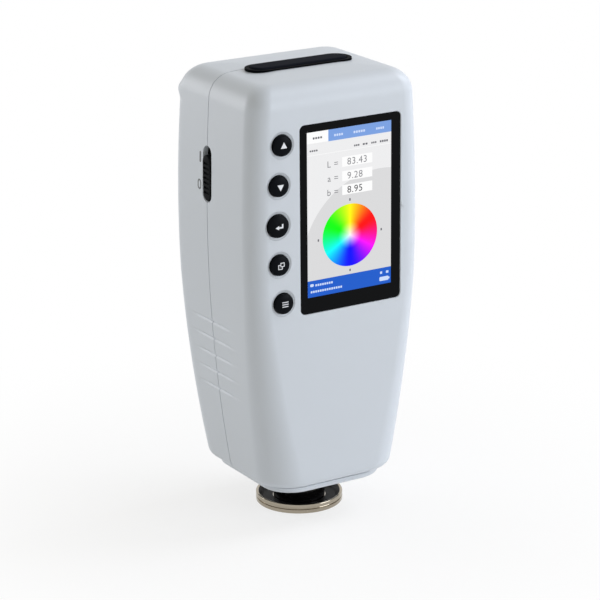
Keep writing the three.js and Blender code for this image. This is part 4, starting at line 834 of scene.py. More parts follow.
def point_block(name, degrees):
    """A three-sided block with its point at so many degrees from straight up."""
    clear_choice()
    turn = (0, 0, math.radians(degrees))
    bpy.ops.mesh.primitive_cylinder_add(vertices=3, radius=1.82 * MM, depth=8 * MM, rotation=turn)
    return settle(added(name))


def bar(x0, y0, x1, y1):
    return block("icon_bar", (x0, y0, -4), (x1, y1, 4))


def icon_block(name):
    """What a key's icon is stamped from, lying flat at the origin."""
    if name in ("key_up", "key_down"):
        return point_block("icon_point", 0 if name == "key_up" else 180)
    if name == "key_menu":
        return merged([bar(-1.55, y - 0.2, 1.55, y + 0.2) for y in (1, 0, -1)], "icon_bars")
    if name == "key_enter":
        point = point_block("icon_point", 90)
        point.scale = (0.62, 0.62, 1)
        point.location.x, point.location.y = -0.95 * MM, -0.35 * MM
        settle(point)
        shaft = combine(bar(-0.9, -0.72, 1.75, 0.02), bar(1.02, -0.1, 1.75, 1.2), "UNION")
        return combine(point, shaft, "UNION")
    back = combine(bar(-1.6, -1.5, 0.6, 0.7), bar(-1.24, -1.14, 0.24, 0.34))
    front = bar(-0.5, -0.35, 1.6, 1.55)
    combine(back, front, "UNION")
    return combine(back, bar(-0.14, 0.01, 1.24, 1.19))


def dome(radius, proud, crown, steps=14):
    """Radii and heights from a key's rim to its top."""
    turns = [math.pi / 2 * step / steps * 0.985 for step in range(steps + 1)]
    return [(radius * math.cos(angle), proud - crown + crown * math.sin(angle)) for angle in turns]


class COLORIMETER_OT_keys(bpy.types.Operator):
    """Five domed keys with their printed icons"""

    bl_idname = "colorimeter.keys"
    bl_label = "Keys"

    def execute(self, context):
        settings = context.scene.colorimeter_keys
        proud, crown = settings.proud / MM, settings.crown / MM
        cap_finish = plastic("Key plastic", settings.colour, 0.3, 0.02, specular=0.035)
        icon_finish = plastic("Key print", settings.icon_colour, 0.4, 0.02)
        for name, (x, z, diameter) in KEYS.items():
            radius = diameter / 2
            place = facing("front", (x, -FRONT_DEPTH, z))
            tip = -FRONT_DEPTH - cad_box(name)[1].y
            profile = [(1.8, tip), (2, tip + 0.2), (2, KEY_ROOT)]
            profile += [(radius + reach, height) for reach, height in KEY_FLANGE]
            profile += dome(radius, proud, crown)
            cap = turned(name + "_cap", profile, place, 56)
            finish_piece(smooth(cap, 40), name, "key_black", cap_finish, [name])
            sheet = dome(radius * 0.9, proud, crown * 0.97)
            lower = [(r, h - 0.12) for r, h in sheet[::-1]]
            icon = turned(name + "_icon", lower + [(r, h + 0.04) for r, h in sheet], place, 56)
            combine(icon, put(icon_block(name), place), "INTERSECT")
            finish_piece(smooth(icon, 40), name, "key_black", icon_finish)
        return {"FINISHED"}


# Display


def tile(name, x, z, wide, tall, layer, radius=0.15):
    """A thin printed tile of the picture. Higher layers lie further forward."""
    place = facing("front", (x, PICTURE_Y, z))
    return tower(name, (wide, tall, radius, 3), [(0, -0.1), (0, LAYER * layer)], place)


def words(name, text, x, z, size, align="LEFT"):
    """Lettering that lies on the picture."""
    clear_choice()
    bpy.ops.object.text_add(rotation=(math.pi / 2, 0, 0))
    obj = bpy.context.object
    obj.data.body = text
    obj.data.size = size * MM
    obj.data.align_x = align
    obj.data.space_character = 1.08
    obj.data.extrude = 0.01 * MM
    obj.data.resolution_u = 3
    obj.location = Vector((x, PICTURE_Y - 4 * LAYER, z)) * MM
    bpy.ops.object.convert(target="MESH")
    return settle(added(name))


# Word bars, as middle x, middle z, width and height
GREY_WORDS = (
    (-12.55, 174.1, 4.2, 0.75),
    (9.4, 173.6, 3.0, 0.8),
    (13.7, 173.6, 2.8, 0.8),
    (18.2, 173.6, 2.9, 0.8),
    (23.4, 173.6, 4.4, 0.95),
    (-10.6, 179.6, 5.0, 0.9),
    (5.85, 149.8, 0.7, 1.2),
    (22.1, 133.8, 0.7, 1.1),
    (-10.4, 133.8, 0.7, 1.1),
    (5.85, 117.8, 0.7, 1.1),
)
LIGHT_WORDS = (
    (0.1, 179.6, 4.8, 1.0),
    (10.7, 179.6, 6.2, 1.0),
    (21.4, 179.6, 4.4, 1.0),
    (-7.6, 113.7, 9.2, 0.95),
    (-6.4, 110.9, 16.4, 0.95),
    (22.1, 113.8, 1.1, 1.1),
    (25.3, 113.8, 1.3, 1.1),
)
# Battery and note signs, as word bars with their layer and corner
LIGHT_SIGNS = (
    (23.6, 110.9, 4.8, 1.9, 4, 0.5),
    (26.25, 110.9, 0.5, 0.9, 4, 0.15),
    (-13.8, 113.9, 1.9, 1.3, 4, 0.6),
)
# Names, values and the heights of their boxes
READINGS = (("L =", "83.43", 167.1), ("a =", "9.28", 160.75), ("b =", "8.95", 154.5))
# Where a reading's value and name stand, as x, drop under the box's middle, and letter size
VALUE = (4.4, 1.55, 4.4)
LABEL = (0.0, 1.5, 4.1)


def reading(spot, text, box_z, align="LEFT"):
    """A reading's value or name."""
    x, drop, size = spot
    return words("reading", text, x, box_z - drop, size, align)


def word_row(kind, x, z, wide, tall):
    """A word of the picture, as a row of short strokes."""
    count = max(1, round(wide / 1.15))
    pitch = wide / count
    return [
        tile(kind, x + (i + 0.5 - count / 2) * pitch, z, pitch * (0.74 if count > 1 else 1), tall, 4)
        for i in range(count)
    ]


class COLORIMETER_OT_display(bpy.types.Operator):
    """Dark window and the lit picture of readings, hue wheel and bars"""

    bl_idname = "colorimeter.display"
    bl_label = "Display"

    def execute(self, context):
        settings = context.scene.colorimeter_display
        x, z, wide, tall, radius = WINDOW
        levels = [(0, -1.7), (0, -0.42), (-0.07, -0.27), (-0.22, -0.2)]
        place = facing("front", (x, -FRONT_DEPTH, z))
        window = tower("window_finished", (wide, tall, radius, 12), levels, place)
        dark = plastic("Window glass", settings.glass_colour, 0.08, 0.0, specular=0.08, spread=0.02)
        finish_piece(even_normals(smooth(window, 25)), "housing", "window_black", dark, ["display_window"])
        for name, piece, finish in self.picture(settings):
            piece.name = name
            finish_piece(piece, "housing", "display_panel", finish)
        return {"FINISHED"}

    def picture(self, settings):
        """The lit picture's pieces, each with its surface."""
        yield "picture_page", tile("page", *PAGE, 1), lit("Page", settings.page_colour)
        yield "picture_tabs", tile("tabs", *TABS, 2), lit("Tab bar", settings.tab_colour)
        yield "picture_foot", tile("foot", *FOOT, 2), lit("Foot bar", settings.bar_colour)
        (x, z), radius, (left, low), (right, top) = SHADE
        profile = [(radius, -0.1), (radius, 2 * LAYER)]
        shade = turned("shade", profile, facing("front", (x, PICTURE_Y, z)), 160)
        edges = block("shade_edges", (left, PICTURE_Y - 3, low), (right, PICTURE_Y + 3, top))
        combine(shade, edges, "INTERSECT")
        yield "picture_shade", shade, lit("Page shade", paint(219, 219, 220))
        whites = [tile("tab", *FIRST_TAB, 3), tile("page_line", *PAGE_LINE, 3)]
        x, wide, tall = READING_BOX
        whites += [tile("reading_box", x, box_z, wide, tall, 3) for _, _, box_z in READINGS]
        yield "picture_white", merged(whites, "white"), lit("Reading box", paint(253, 253, 253))
        texts = [reading(VALUE, value, box_z) for _, value, box_z in READINGS[:2]]
        texts += [reading(LABEL, label, box_z, "RIGHT") for label, _, box_z in READINGS]
        yield "picture_readings", merged(texts, "readings"), lit("Pale lettering", paint(136, 136, 140))
        texts = []
        for place in GREY_WORDS:
            texts += word_row("grey_word", *place)
        yield "picture_text", merged(texts, "text"), lit("Grey lettering", paint(104, 104, 110))
        _, value, box_z = READINGS[2]
        yield "picture_dark_text", reading(VALUE, value, box_z), lit("Dark lettering", paint(30, 30, 34))
        lights = [tile("light", *sign) for sign in LIGHT_SIGNS]
        for place in LIGHT_WORDS:
            lights += word_row("light_word", *place)
        yield "picture_light", merged(lights, "light"), lit("Light lettering", paint(206, 222, 252))
        x, z, radius = WHEEL
        wheel = turned("wheel", [(radius, -0.1), (radius, 0.05)], facing("front", (x, PICTURE_Y, z)), 128)
        yield "picture_wheel", wheel, hue_wheel("Hue wheel", x, z, radius)


# Test button


class COLORIMETER_OT_test_button(bpy.types.Operator):
    """Long test button on top, and its bezel"""

    bl_idname = "colorimeter.test_button"
    bl_label = "Test button"

    def execute(self, context):
        settings = context.scene.colorimeter_button
        crown = settings.crown / MM
        place = facing("top", (0, BEZEL_Y, 0))
        levels = [(0, HEIGHT - 2.4), (0, HEIGHT + 0.3), (-0.06, HEIGHT + 0.44), (-0.2, HEIGHT + 0.5)]
        bezel = tower("test_button_bezel_finished", in_bezel(0), levels, place)
        combine(bezel, body("crown", -0.1, True))
        levels = [(0, HEIGHT - 8.2), (0, HEIGHT + 0.46)]
        combine(bezel, tower("collar", in_bezel(COLLAR_LESS), levels, place), "UNION")
        levels = [(0.26, HEIGHT + 20), (0.26, HEIGHT + 0.56), (0, HEIGHT + 0.3), (0, HEIGHT - 20)]
        combine(bezel, tower("bore", in_bezel(BORE_LESS), levels, place))
        even_normals(smooth(bezel))
        finish = plastic("Bezel plastic", settings.bezel_colour, 0.4, 0.03, specular=0.004)
        finish_piece(bezel, "housing", "trim_black", finish, ["test_button_bezel"])
        reach, foot, ledge = BUTTON_FLANGE
        top = HEIGHT + BUTTON_TOP
        levels = [(reach, foot), (reach, ledge), (0, ledge), (0, top - crown)]
        levels += [(-2.6 * crown * share**2, top - crown * (1 - share) ** 2) for share in spread(0, 1, 8)]
        button = tower("test_button_finished", in_bezel(BUTTON_LESS), levels, place)
        low = cad_box("test_button")[0].z
        combine(button, turned("stem", [(2.3, low), (2.5, low + 0.2), (2.5, 195.6)], place, 40), "UNION")
        finish = plastic("Button plastic", settings.colour, 0.5, 0.04, specular=0.004)
        finish_piece(smooth(button, 50), "test_button", "button_black", finish, ["test_button"])
        return {"FINISHED"}


# Power switch


class COLORIMETER_OT_power_switch(bpy.types.Operator):
    """Ribbed sliding knob of the power switch"""

    bl_idname = "colorimeter.power_switch"
    bl_label = "Power switch knob"

    def execute(self, context):
        settings = context.scene.colorimeter_switch
        knob_z, long, wide = KNOB
        face = half_width(knob_z) + settings.proud / MM - KNOB_SEAT
        place = facing("left", (-KNOB_SEAT, PARTING_Y, knob_z))
        levels = [(0, -0.2), (0, face - 0.5), (-0.1, face - 0.2), (-0.3, face - 0.04), (-0.5, face)]
        knob = tower("power_switch_knob_finished", pill(long, wide, True, 12), levels, place)
        levels = [(0.1, FAR), (0.1, face), (0, face - 0.1), (0, face - settings.rib_depth / MM)]
        gaps = []
        for i in RIBS:
            place = facing("left", (-KNOB_SEAT, PARTING_Y, knob_z + i * RIB_PITCH))
            gaps.append(tower("rib_gap", RIB_GAP, levels, place))
        combine(knob, merged(gaps, "rib_gaps"))
        seat = Vector((-KNOB_SEAT, PARTING_Y, knob_z))
        low, high = seat - Vector(KNOB_FLANGE), seat + Vector(KNOB_FLANGE)
        combine(knob, rounded(block("flange", low, high), 0.2, 2), "UNION")
        inner_end = cad_box("power_switch_knob")[1].x
        low = (-KNOB_SEAT, PARTING_Y - KNOB_PEG, knob_z - KNOB_PEG)
        high = (inner_end, PARTING_Y + KNOB_PEG, knob_z + KNOB_PEG)
        combine(knob, block("peg", low, high), "UNION")
        finish = plastic("Knob plastic", settings.colour, 0.42, 0.05, specular=0.02)
        finish_piece(smooth(knob, 40), "power_switch_knob", "knob_black", finish, ["power_switch_knob"])
        return {"FINISHED"}


# Measuring head


class COLORIMETER_OT_measuring_head(bpy.types.Operator):
    """Polished locating ring, glossy neck, seal and aperture insert"""

    bl_idname = "colorimeter.measuring_head"
    bl_label = "Measuring head"

    def execute(self, context):
        settings = context.scene.colorimeter_head
        # The ring's colour holds a painted reflection, warm and dark, over its own nickel tone.
        chrome = polished("Polished ring", settings.ring_tone_and_painted_reflection, settings.ring_roughness, turned_about_z=True)
        lining = plastic("Ring lining", settings.neck_colour, 0.3, 0.02, specular=0.06)
        black = plastic("Neck lacquer", settings.neck_colour, 0.12, 0.01, specular=0.4)
        rubber = plastic("Seal rubber", paint(30, 30, 32), 0.7, 0.08)
        insert = plastic("Insert plastic", paint(34, 34, 36), 0.55, 0.04)
        x, z = SEAL_MIDDLE
        turns = [math.pi / 8 * i for i in range(16)]
        seal = [(x + SEAL_RADIUS * math.cos(turn), z + SEAL_RADIUS * math.sin(turn)) for turn in turns]
        pieces = (
            ("locating_ring_finished", RING_PROFILE, 128, 28, "ring_chrome", chrome, ["locating_ring"]),
            ("ring_inner_face", LINING_PROFILE, 128, 40, "neck_black", lining, []),
            ("measuring_neck_finished", NECK_PROFILE, 96, 30, "neck_black", black, ["measuring_neck"]),
            ("neck_seal_finished", (*seal, seal[0]), 96, 60, "seal_rubber", rubber, ["neck_seal"]),
            ("aperture_insert_finished", INSERT_PROFILE, 96, 30, "neck_black", insert, ["aperture_insert"]),
        )
        for name, profile, steps, degrees, slot, finish, replaced in pieces:
            piece = smooth(turned(name, profile, facing("top", (0, 0, 0)), steps), degrees)
            finish_piece(piece, "housing", slot, finish, replaced)
        return {"FINISHED"}


# Sockets and screws


class COLORIMETER_OT_sockets(bpy.types.Operator):
    """Power jack and data socket on the right side"""

    bl_idname = "colorimeter.sockets"
    bl_label = "Sockets"

    def execute(self, context):
        low, high = cad_box("dc_jack")
        place = facing("right", (high.x, PARTING_Y, JACK_Z))
        jack = rounded(block("dc_jack_finished", low, (high.x - NOSE, high.y, high.z)), 0.3)
        combine(jack, turned("nose", JACK_NOSE, place), "UNION")
        combine(jack, turned("bore", JACK_BORE, place))
        finish = plastic("Jack plastic", paint(24, 24, 26), 0.4, 0.03)
        finish_piece(smooth(jack), "housing", "trim_black", finish, ["dc_jack"])
        pin = turned("dc_jack_pin", JACK_PIN, place, 40)
        finish = polished("Contact pin", paint(214, 208, 196), 0.2)
        finish_piece(smooth(pin, 40), "housing", "socket_metal", finish)
        low, high = cad_box("data_socket")
        place = facing("right", (high.x, PARTING_Y, DATA_Z))
        data = rounded(block("data_socket_finished", low, (high.x - NOSE, high.y, high.z)), 0.3)
        combine(data, tower("data_nose", DATA_NOSE, [(0, -4), (0, 0)], place), "UNION")
        combine(data, tower("data_bore", DATA_BORE, [(0, -7), (0, 4)], place))
        finish = polished("Socket shell", paint(196, 198, 202), 0.28)
        finish_piece(smooth(data), "housing", "socket_metal", finish, ["data_socket"])
        root, tip, half_thick, half_tall = DATA_TONGUE
        low = (high.x + root, PARTING_Y - half_thick, DATA_Z - half_tall)
        high = (high.x + tip, PARTING_Y + half_thick, DATA_Z + half_tall)
        tongue = rounded(block("data_tongue", low, high), 0.12)
        finish = plastic("Socket tongue", paint(30, 30, 32), 0.5, 0.03)
        finish_piece(smooth(tongue), "housing", "trim_black", finish)
        return {"FINISHED"}


class COLORIMETER_OT_housing_screws(bpy.types.Operator):
    """Four housing screws with cross recesses, seen in the holes of the rear shell"""

    bl_idname = "colorimeter.housing_screws"
    bl_label = "Housing screws"

    def execute(self, context):
        steel = polished("Screw steel", paint(168, 170, 174), 0.3)
        pattern = turned("screw_pattern", SCREW_PROFILE, facing("back", (0, 0, 0)), 40)
        for wide, tall in ((1.4, 0.42), (0.42, 1.4)):
            combine(pattern, block("cross", (-wide, 0.75, -tall), (wide, 3, tall)))
        smooth(pattern, 35)
        for i in range(1, 5):
            low, high = cad_box(f"housing_screw_{i}")
            shift = ((low.x + high.x) / 2, high.y - SCREW_PROFILE[-1][1], (low.z + high.z) / 2)
            copy = duplicate(pattern, f"housing_screw_{i}_finished", shift)
            finish_piece(copy, "housing", "screw_steel", steel, [f"housing_screw_{i}"])
        bpy.data.objects.remove(pattern)
        return {"FINISHED"}


WRAP_BLUES = ((38, 84, 140), (60, 112, 170))
SPHERE_WHITES = ((232, 231, 226), (246, 245, 241))


class COLORIMETER_OT_inner_parts(bpy.types.Operator):
    """Surfaces of the parts inside, which keep their CAD solids"""

    bl_idname = "colorimeter.inner_parts"
    bl_label = "Parts inside"

    def execute(self, context):
        dark = plastic("Switch plastic", paint(34, 36, 40), 0.45, 0.04)
        steel = polished("Small screw steel", paint(160, 162, 166), 0.32)
        glass = clear_glass("Clear glass")
        finishes = {
            "display_module": polished("Display back", paint(176, 180, 186), 0.35),
            "display_frame": dark,
            "battery_pack": mottled("Cell wrap", WRAP_BLUES, 0.35, 70.0, 3.0, 0.35, 0.3),
            "battery_contact": polished("Spring contact", paint(206, 172, 98), 0.26),
            "sphere": mottled("Porous white", SPHERE_WHITES, 0.85, 1500.0, 4.0, 0.4, 0.04),
            "optics_bracket": plastic("Bracket plastic", paint(48, 50, 54), 0.5, 0.06),
            "sensor_tube": dark,
            "sensor_lens": glass,
            "dust_window": glass,
            "board_screw": steel,
            "button_board_screw": steel,
            "optics_screw": steel,
            "power_switch_body": dark,
            "switch": dark,
            "board": circuit_board("Circuit board"),
        }
        for name, shown in NODES.items():
            if shown.hide_render:
                continue
            key = next((k for k in finishes if name.startswith(k) or name.endswith("_" + k)), None)
            if key is None:
                raise RuntimeError("no surface is set for " + name)
            shown.data.materials.clear()
            shown.data.materials.append(finishes[key])
        return {"FINISHED"}


# Surfaces


def feed(made, values):
    """Links or sets a node's inputs."""
    for name, value in values.items():
        if isinstance(value, bpy.types.NodeSocket):
            made.id_data.links.new(value, made.inputs[name])
        else:
            made.inputs[name].default_value = value
    return made


def node(tree, kind, values=None, **settings):
    """Adds a node, sets its properties, and links or sets its inputs."""
    made = tree.nodes.new(kind)
    for name, value in settings.items():
        setattr(made, name, value)
    return feed(made, values or {})


def maths(tree, operation, *values, **settings):
    """The result of one sum."""
    return node(tree, "ShaderNodeMath", dict(enumerate(values)), operation=operation, **settings).outputs[0]


def vector_maths(tree, operation, values, result=0):
    return node(tree, "ShaderNodeVectorMath", values, operation=operation).outputs[result]


def mixed(tree, factor, first, second):
    """A colour between two others."""
    return node(tree, "ShaderNodeMix", {0: factor, 6: first, 7: second}, data_type="RGBA").outputs[2]


def noise(tree, place, scale, detail=2.0):
    return node(tree, "ShaderNodeTexNoise", {"Vector": place, "Scale": scale, "Detail": detail}).outputs[0]


def moulded_grain(tree, given):
    """Slow mottling of colour and gloss, with a fine spark-eroded grain."""
    slow = noise(tree, given["Vector"], 55.0, 3.0)
    fine = noise(tree, given["Vector"], given["Grain"])
    share = maths(tree, "SUBTRACT", 1.0, given["Shade"])
    darker = vector_maths(tree, "SCALE", {0: given["Colour"], "Scale": share})
    blend = maths(tree, "MULTIPLY_ADD", slow, fine, 0.15)
    swing = maths(tree, "SUBTRACT", slow, 0.5)
    return {
        "Colour": mixed(tree, blend, darker, given["Colour"]),
        "Roughness": maths(tree, "MULTIPLY_ADD", swing, given["Spread"], given["Roughness"]),
        "Height": fine,
    }


def fine_lines(tree, given):
    """Thin lines left by turning or brushing, along one direction."""
    lines = noise(tree, given["Vector"], 900.0, 3.0)
    swing = maths(tree, "SUBTRACT", lines, 0.5)
    return {
        "Roughness": maths(tree, "MULTIPLY_ADD", swing, given["Spread"], given["Roughness"]),
        "Height": lines,
    }


def screen_dots(tree, given):
    """The faint grid of a display's picture elements."""
    apart = node(tree, "ShaderNodeSeparateXYZ", {"Vector": given["Vector"]}).outputs
    waves = [
        maths(tree, "SINE", maths(tree, "MULTIPLY", apart[axis], 2 * math.pi / (DOT_PITCH * MM)))
        for axis in ("X", "Z")
    ]
    depth = maths(tree, "MULTIPLY", maths(tree, "MAXIMUM", *waves), given["Depth"])
    level = maths(tree, "ADD", depth, 0.97)
    return {"Colour": vector_maths(tree, "SCALE", {0: given["Colour"], "Scale": level})}


GREY = (0.5, 0.5, 0.5, 1)
WHITE = (1, 1, 1, 1)
# Shared effects: how each is filled, its inputs with their values, and its outputs
EFFECTS = {
    "Moulded grain": (
        moulded_grain,
        {"Vector": None, "Colour": GREY, "Shade": 0.04, "Roughness": 0.4, "Spread": 0.05, "Grain": 2200.0},
        ("Colour", "Roughness", "Height"),
    ),
    "Fine lines": (fine_lines, {"Vector": None, "Roughness": 0.2, "Spread": 0.1}, ("Roughness", "Height")),
    "Screen dots": (screen_dots, {"Vector": None, "Colour": WHITE, "Depth": 0.06}, ("Colour",)),
}
SOCKET_KINDS = {"Vector": "NodeSocketVector", "Colour": "NodeSocketColor"}


def effect(tree, name, values):
    """Adds a shared effect. Its node group is made the first time."""
    made = bpy.data.node_groups.get(name)
    if made is None:
        fill, inputs, outputs = EFFECTS[name]
        made = bpy.data.node_groups.new(name, "ShaderNodeTree")
        for label, value in inputs.items():
            kind = SOCKET_KINDS.get(label, "NodeSocketFloat")
            socket = made.interface.new_socket(label, in_out="INPUT", socket_type=kind)
            if value is not None:
                socket.default_value = value
        for label in outputs:
            kind = SOCKET_KINDS.get(label, "NodeSocketFloat")
            made.interface.new_socket(label, in_out="OUTPUT", socket_type=kind)
        feed(node(made, "NodeGroupOutput"), fill(made, node(made, "NodeGroupInput").outputs))
    return node(tree, "ShaderNodeGroup", values, node_tree=made)


def surface(fill):
    """Turns a function that fills a node tree into one that gives a named material, made the first time."""

    def material(name, *values, **settings):
        made = bpy.data.materials.get(name)
        if made is None:
            made = bpy.data.materials.new(name)
            made.use_nodes = True
            tree = made.node_tree
            place = node(tree, "ShaderNodeTexCoord").outputs["Object"]
            fill(tree, tree.nodes["Principled BSDF"], place, *values, **settings)
        return made

    return material


def bump(shader, height, strength, distance):
    values = {"Height": height, "Strength": strength, "Distance": distance * MM}
    feed(shader, {"Normal": node(shader.id_data, "ShaderNodeBump", values).outputs[0]})


@surface
def plastic(tree, shader, place, colour, roughness, grain, specular=0.5, shade=0.06, spread=0.08):
    """Moulded or lacquered plastic. Grain is the depth of its texture in millimetres."""
    values = {"Vector": place, "Colour": (*colour, 1), "Shade": shade}
    values.update({"Roughness": roughness, "Spread": spread})
    look = effect(tree, "Moulded grain", values).outputs
    feed(shader, {"Base Color": look["Colour"], "Roughness": look["Roughness"]})
    feed(shader, {"Specular IOR Level": specular})
    if grain > 0:
        bump(shader, look["Height"], 0.5, grain)


def shell_plastic():
    settings = bpy.context.scene.colorimeter_housing
    return plastic("Shell plastic", settings.colour, settings.roughness, 0.03, shade=0.03, spread=0.1)


@surface
def polished(tree, shader, place, colour, roughness, turned_about_z=False):
    """Bright metal with fine turning or brushing lines."""
    if turned_about_z:
        apart = node(tree, "ShaderNodeSeparateXYZ", {"Vector": place}).outputs
        flat = node(tree, "ShaderNodeCombineXYZ", {"X": apart["X"], "Y": apart["Y"]}).outputs[0]
        reach = vector_maths(tree, "LENGTH", {0: flat}, "Value")
        lined = node(tree, "ShaderNodeCombineXYZ", {"X": reach, "Z": apart["Z"]}).outputs[0]
    else:
        lined = node(tree, "ShaderNodeMapping", {"Vector": place, "Scale": (1, 1, 14)}).outputs[0]
    look = effect(tree, "Fine lines", {"Vector": lined, "Roughness": roughness, "Spread": roughness}).outputs
    darker = tuple(value * 0.86 for value in colour)
    tint = mixed(tree, noise(tree, place, 120.0), (*darker, 1), (*colour, 1))
    feed(shader, {"Base Color": tint, "Roughness": look["Roughness"], "Metallic": 1})
    bump(shader, look["Height"], 0.25, 0.01)


def show(tree, shader, place, colour):
    """Gives off a colour through the display's dots, under its glossy front."""
    look = effect(tree, "Screen dots", {"Vector": place, "Colour": colour})
    brightness = bpy.context.scene.colorimeter_display.brightness
    feed(shader, {"Emission Color": look.outputs["Colour"], "Emission Strength": brightness})
    feed(shader, {"Base Color": (0.004, 0.004, 0.005, 1), "Roughness": 0.1, "Specular IOR Level": 0.08})


@surface
def lit(tree, shader, place, colour):
    """A lit area of the display."""
    show(tree, shader, place, (*colour, 1))


@surface
def hue_wheel(tree, shader, place, x, z, radius):
    """A disc of hues round a white middle, with yellow at the top and blue at the bottom."""
    shift = [-value * MM for value in (x, PICTURE_Y, z)]
    centred = node(tree, "ShaderNodeMapping", {"Vector": place, "Location": shift}).outputs[0]
    apart = node(tree, "ShaderNodeSeparateXYZ", {"Vector": centred}).outputs
    turn = maths(tree, "ARCTAN2", apart["Z"], apart["X"])
    hue = maths(tree, "FRACT", maths(tree, "MULTIPLY_ADD", turn, 1 / (2 * math.pi), 1 - 30 / 360))
    reach = vector_maths(tree, "LENGTH", {0: centred}, "Value")
    full = maths(tree, "MULTIPLY", reach, 1 / (radius * MM * 0.45), use_clamp=True)
    plain = node(tree, "ShaderNodeCombineColor", {0: hue, 1: full, 2: 1.0}, mode="HSV").outputs[0]
    show(tree, shader, place, node(tree, "ShaderNodeGamma", {0: plain, 1: 2.2}).outputs[0])


@surface
def circuit_board(tree, shader, place):
    """Green solder mask over copper tracks."""
    values = {"Vector": place, "Scale": 160.0, "Mortar Size": 0.03}
    for name, colour in (("Color1", (22, 88, 56)), ("Color2", (18, 78, 50)), ("Mortar", (70, 136, 84))):
        values[name] = (*paint(*colour), 1)
    tracks = node(tree, "ShaderNodeTexBrick", values, offset=0.37, squash=0.7, squash_frequency=3).outputs
    values = {"Value": noise(tree, place, 500.0), "To Min": 0.3, "To Max": 0.5}
    rough = node(tree, "ShaderNodeMapRange", values).outputs[0]
    feed(shader, {"Base Color": tracks["Color"], "Roughness": rough})
    bump(shader, tracks["Fac"], 0.3, 0.03)


@surface
def mottled(tree, shader, place, colours, roughness, scale, detail, strength, distance):
    """A surface between two colours: the battery's shrunk sleeve, and the sphere's sintered lining."""
    grain = noise(tree, place, scale, detail)
    first, second = ((*paint(*colour), 1) for colour in colours)
    feed(shader, {"Base Color": mixed(tree, grain, first, second), "Roughness": roughness})
    bump(shader, grain, strength, distance)


@surface
def clear_glass(tree, shader, place):
    """Polished glass with a faint haze."""
    values = {"Value": noise(tree, place, 200.0), "To Min": 0.0, "To Max": 0.04}
    rough = node(tree, "ShaderNodeMapRange", values).outputs[0]
    feed(shader, {"Base Color": (0.96, 0.98, 0.98, 1), "Roughness": rough})
    feed(shader, {"Transmission Weight": 1, "IOR": 1.5})


# Studio


# Lamps, with their places in metres and their colours
LAMPS = (
    ("front", (0.95, -1.132, 0.37), (0.86, 0.91, 1.0)),
    ("right", (1.132, -0.2, 1.074), (0.88, 0.91, 1.0)),
    ("rear", (-0.739, 1.279, 0.37), (0.94, 0.95, 1.0)),
)
LAMP_AIM = (0, 0, 0.11)
CAMERA_PLACE = (-587.2, -964.2, 455.9)
CAMERA_RIGHT = (0.8523, -0.523, -0.0075)
CAMERA_UP = (0.1651, 0.2554, 0.9526)


class COLORIMETER_OT_studio(bpy.types.Operator):
    """Pale floor, soft lamps and the camera"""

    bl_idname = "colorimeter.studio"
    bl_label = "Studio"

    def execute(self, context):
        scene = context.scene
        settings = scene.colorimeter_studio
        scene.view_settings.view_transform = "Standard"
        clear_choice()
        bpy.ops.mesh.primitive_plane_add(size=12)
        floor = added("studio_floor")
        floor.data.materials.append(floor_surface(settings.floor_colour))
        light_world(scene)
        for name, place, colour in LAMPS:
            lamp(name + "_lamp", place, getattr(settings, name + "_power"), colour)
        clear_choice()
        bpy.ops.object.camera_add()
        camera = added("camera")
        right = Vector(CAMERA_RIGHT).normalized()
        back = right.cross(Vector(CAMERA_UP).normalized()).normalized()
        turn = Matrix((right, back.cross(right), back)).transposed().to_4x4()
        camera.matrix_world = Matrix.Translation(Vector(CAMERA_PLACE) * MM) @ turn
        camera.data.lens = settings.focal_length
        camera.data.sensor_width = 36
        camera.data.clip_start = 0.05
        camera.data.clip_end = 30
        scene.camera = camera
        return {"FINISHED"}


def lamp(name, place, power, colour):
    """A soft square lamp, turned towards the middle of the object."""
    clear_choice()
    bpy.ops.object.light_add(type="AREA", location=place)
    made = added(name)
    made.data.energy = power
    made.data.size = 0.8
    made.data.color = colour
    aim = Vector(LAMP_AIM) - Vector(place)
    made.rotation_euler = aim.to_track_quat("-Z", "Y").to_euler()


def light_world(scene):
    """A white background for the eye, metal and glass, and a plain grey level for the rest."""
    world = bpy.data.worlds.new("studio_world")
    scene.world = world
    world.use_nodes = True
    tree = world.node_tree
    tree.nodes.clear()
    grey = node(tree, "ShaderNodeBackground", {"Color": (1, 0.975, 0.9, 1), "Strength": 0.475})
    white = node(tree, "ShaderNodeBackground", {"Color": WHITE, "Strength": 1.0})
    both = node(tree, "ShaderNodeMixShader", {0: seen_rays(tree), 1: grey.outputs[0], 2: white.outputs[0]})
    node(tree, "ShaderNodeOutputWorld", {0: both.outputs[0]})


def seen_rays(tree):
    """1 for rays from the camera and from mirrors and glass, 0 for the light that bounces."""
    path = node(tree, "ShaderNodeLightPath").outputs
    first = maths(tree, "MAXIMUM", path["Is Camera Ray"], path["Is Glossy Ray"])
    return maths(tree, "MAXIMUM", first, path["Is Transmission Ray"])


def floor_surface(colour):
    """A pale floor with the object's soft shadow, which turns plain white further out."""
    material = bpy.data.materials.new("Floor")
    material.use_nodes = True
    tree = material.node_tree
    tree.nodes.clear()
    place = node(tree, "ShaderNodeTexCoord").outputs["Object"]
    values = {"Value": vector_maths(tree, "LENGTH", {0: place}, "Value"), "From Min": 0.03, "From Max": 0.24}
    values.update({"To Min": 0.72, "To Max": 1.0})
    white_share = node(tree, "ShaderNodeMapRange", values, interpolation_type="SMOOTHSTEP").outputs[0]
    share = maths(tree, "MULTIPLY", seen_rays(tree), white_share)
    matt = node(tree, "ShaderNodeBsdfDiffuse", {"Color": (*colour, 1)})
    white = node(tree, "ShaderNodeEmission", {"Color": WHITE, "Strength": 1.0})
    both = node(tree, "ShaderNodeMixShader", {0: share, 1: matt.outputs[0], 2: white.outputs[0]})
    node(tree, "ShaderNodeOutputMaterial", {0: both.outputs[0]})
    return material


# The add-on's list, and the run


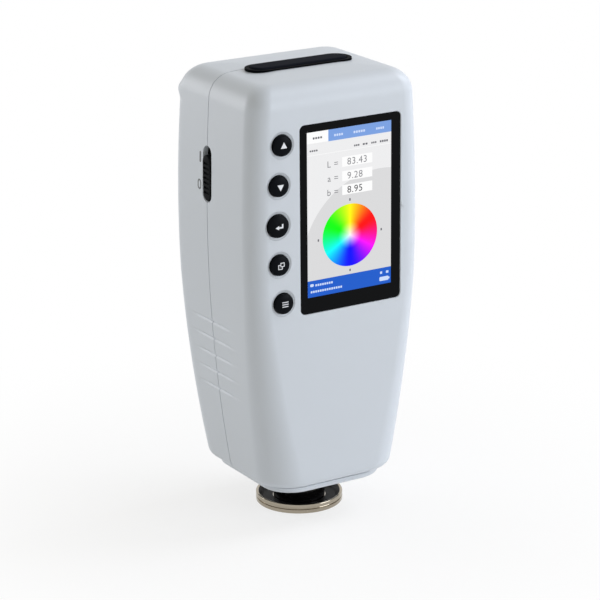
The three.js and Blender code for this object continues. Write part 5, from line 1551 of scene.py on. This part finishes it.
SETTINGS = {
    "colorimeter_housing": HousingSettings,
    "colorimeter_keys": KeySettings,
    "colorimeter_display": DisplaySettings,
    "colorimeter_button": ButtonSettings,
    "colorimeter_switch": SwitchSettings,
    "colorimeter_head": HeadSettings,
    "colorimeter_studio": StudioSettings,
}
OPERATORS = (
    COLORIMETER_OT_studio,
    COLORIMETER_OT_front_shell,
    COLORIMETER_OT_rear_shell,
    COLORIMETER_OT_battery_cover,
    COLORIMETER_OT_switch_marks,
    COLORIMETER_OT_keys,
    COLORIMETER_OT_display,
    COLORIMETER_OT_test_button,
    COLORIMETER_OT_power_switch,
    COLORIMETER_OT_measuring_head,
    COLORIMETER_OT_sockets,
    COLORIMETER_OT_housing_screws,
    COLORIMETER_OT_inner_parts,
)


class COLORIMETER_PT_pieces(bpy.types.Panel):
    """Buttons for every group of pieces, and their settings"""

    bl_idname = "COLORIMETER_PT_pieces"
    bl_label = "Colorimeter"
    bl_space_type = "VIEW_3D"
    bl_region_type = "UI"
    bl_category = "Colorimeter"

    def draw(self, context):
        for operator in OPERATORS:
            self.layout.operator(operator.bl_idname)
        for name, kind in SETTINGS.items():
            group_box = self.layout.box()
            group_box.label(text=kind.__doc__)
            for field in kind.__annotations__:
                group_box.prop(getattr(context.scene, name), field)


def register():
    for kind in (*SETTINGS.values(), *OPERATORS, COLORIMETER_PT_pieces):
        bpy.utils.register_class(kind)
    for name, kind in SETTINGS.items():
        setattr(bpy.types.Scene, name, bpy.props.PointerProperty(type=kind))


def unregister():
    for name in SETTINGS:
        delattr(bpy.types.Scene, name)
    for kind in reversed((*SETTINGS.values(), *OPERATORS, COLORIMETER_PT_pieces)):
        bpy.utils.unregister_class(kind)


def main():
    register()
    bpy.ops.colorimeter.studio()
    bpy.ops.colorimeter.front_shell()
    bpy.ops.colorimeter.rear_shell()
    bpy.ops.colorimeter.battery_cover()
    bpy.ops.colorimeter.switch_marks()
    bpy.ops.colorimeter.keys()
    bpy.ops.colorimeter.display()
    bpy.ops.colorimeter.test_button()
    bpy.ops.colorimeter.power_switch()
    bpy.ops.colorimeter.measuring_head()
    bpy.ops.colorimeter.sockets()
    bpy.ops.colorimeter.housing_screws()
    bpy.ops.colorimeter.inner_parts()


if __name__ == "__main__":
    main()
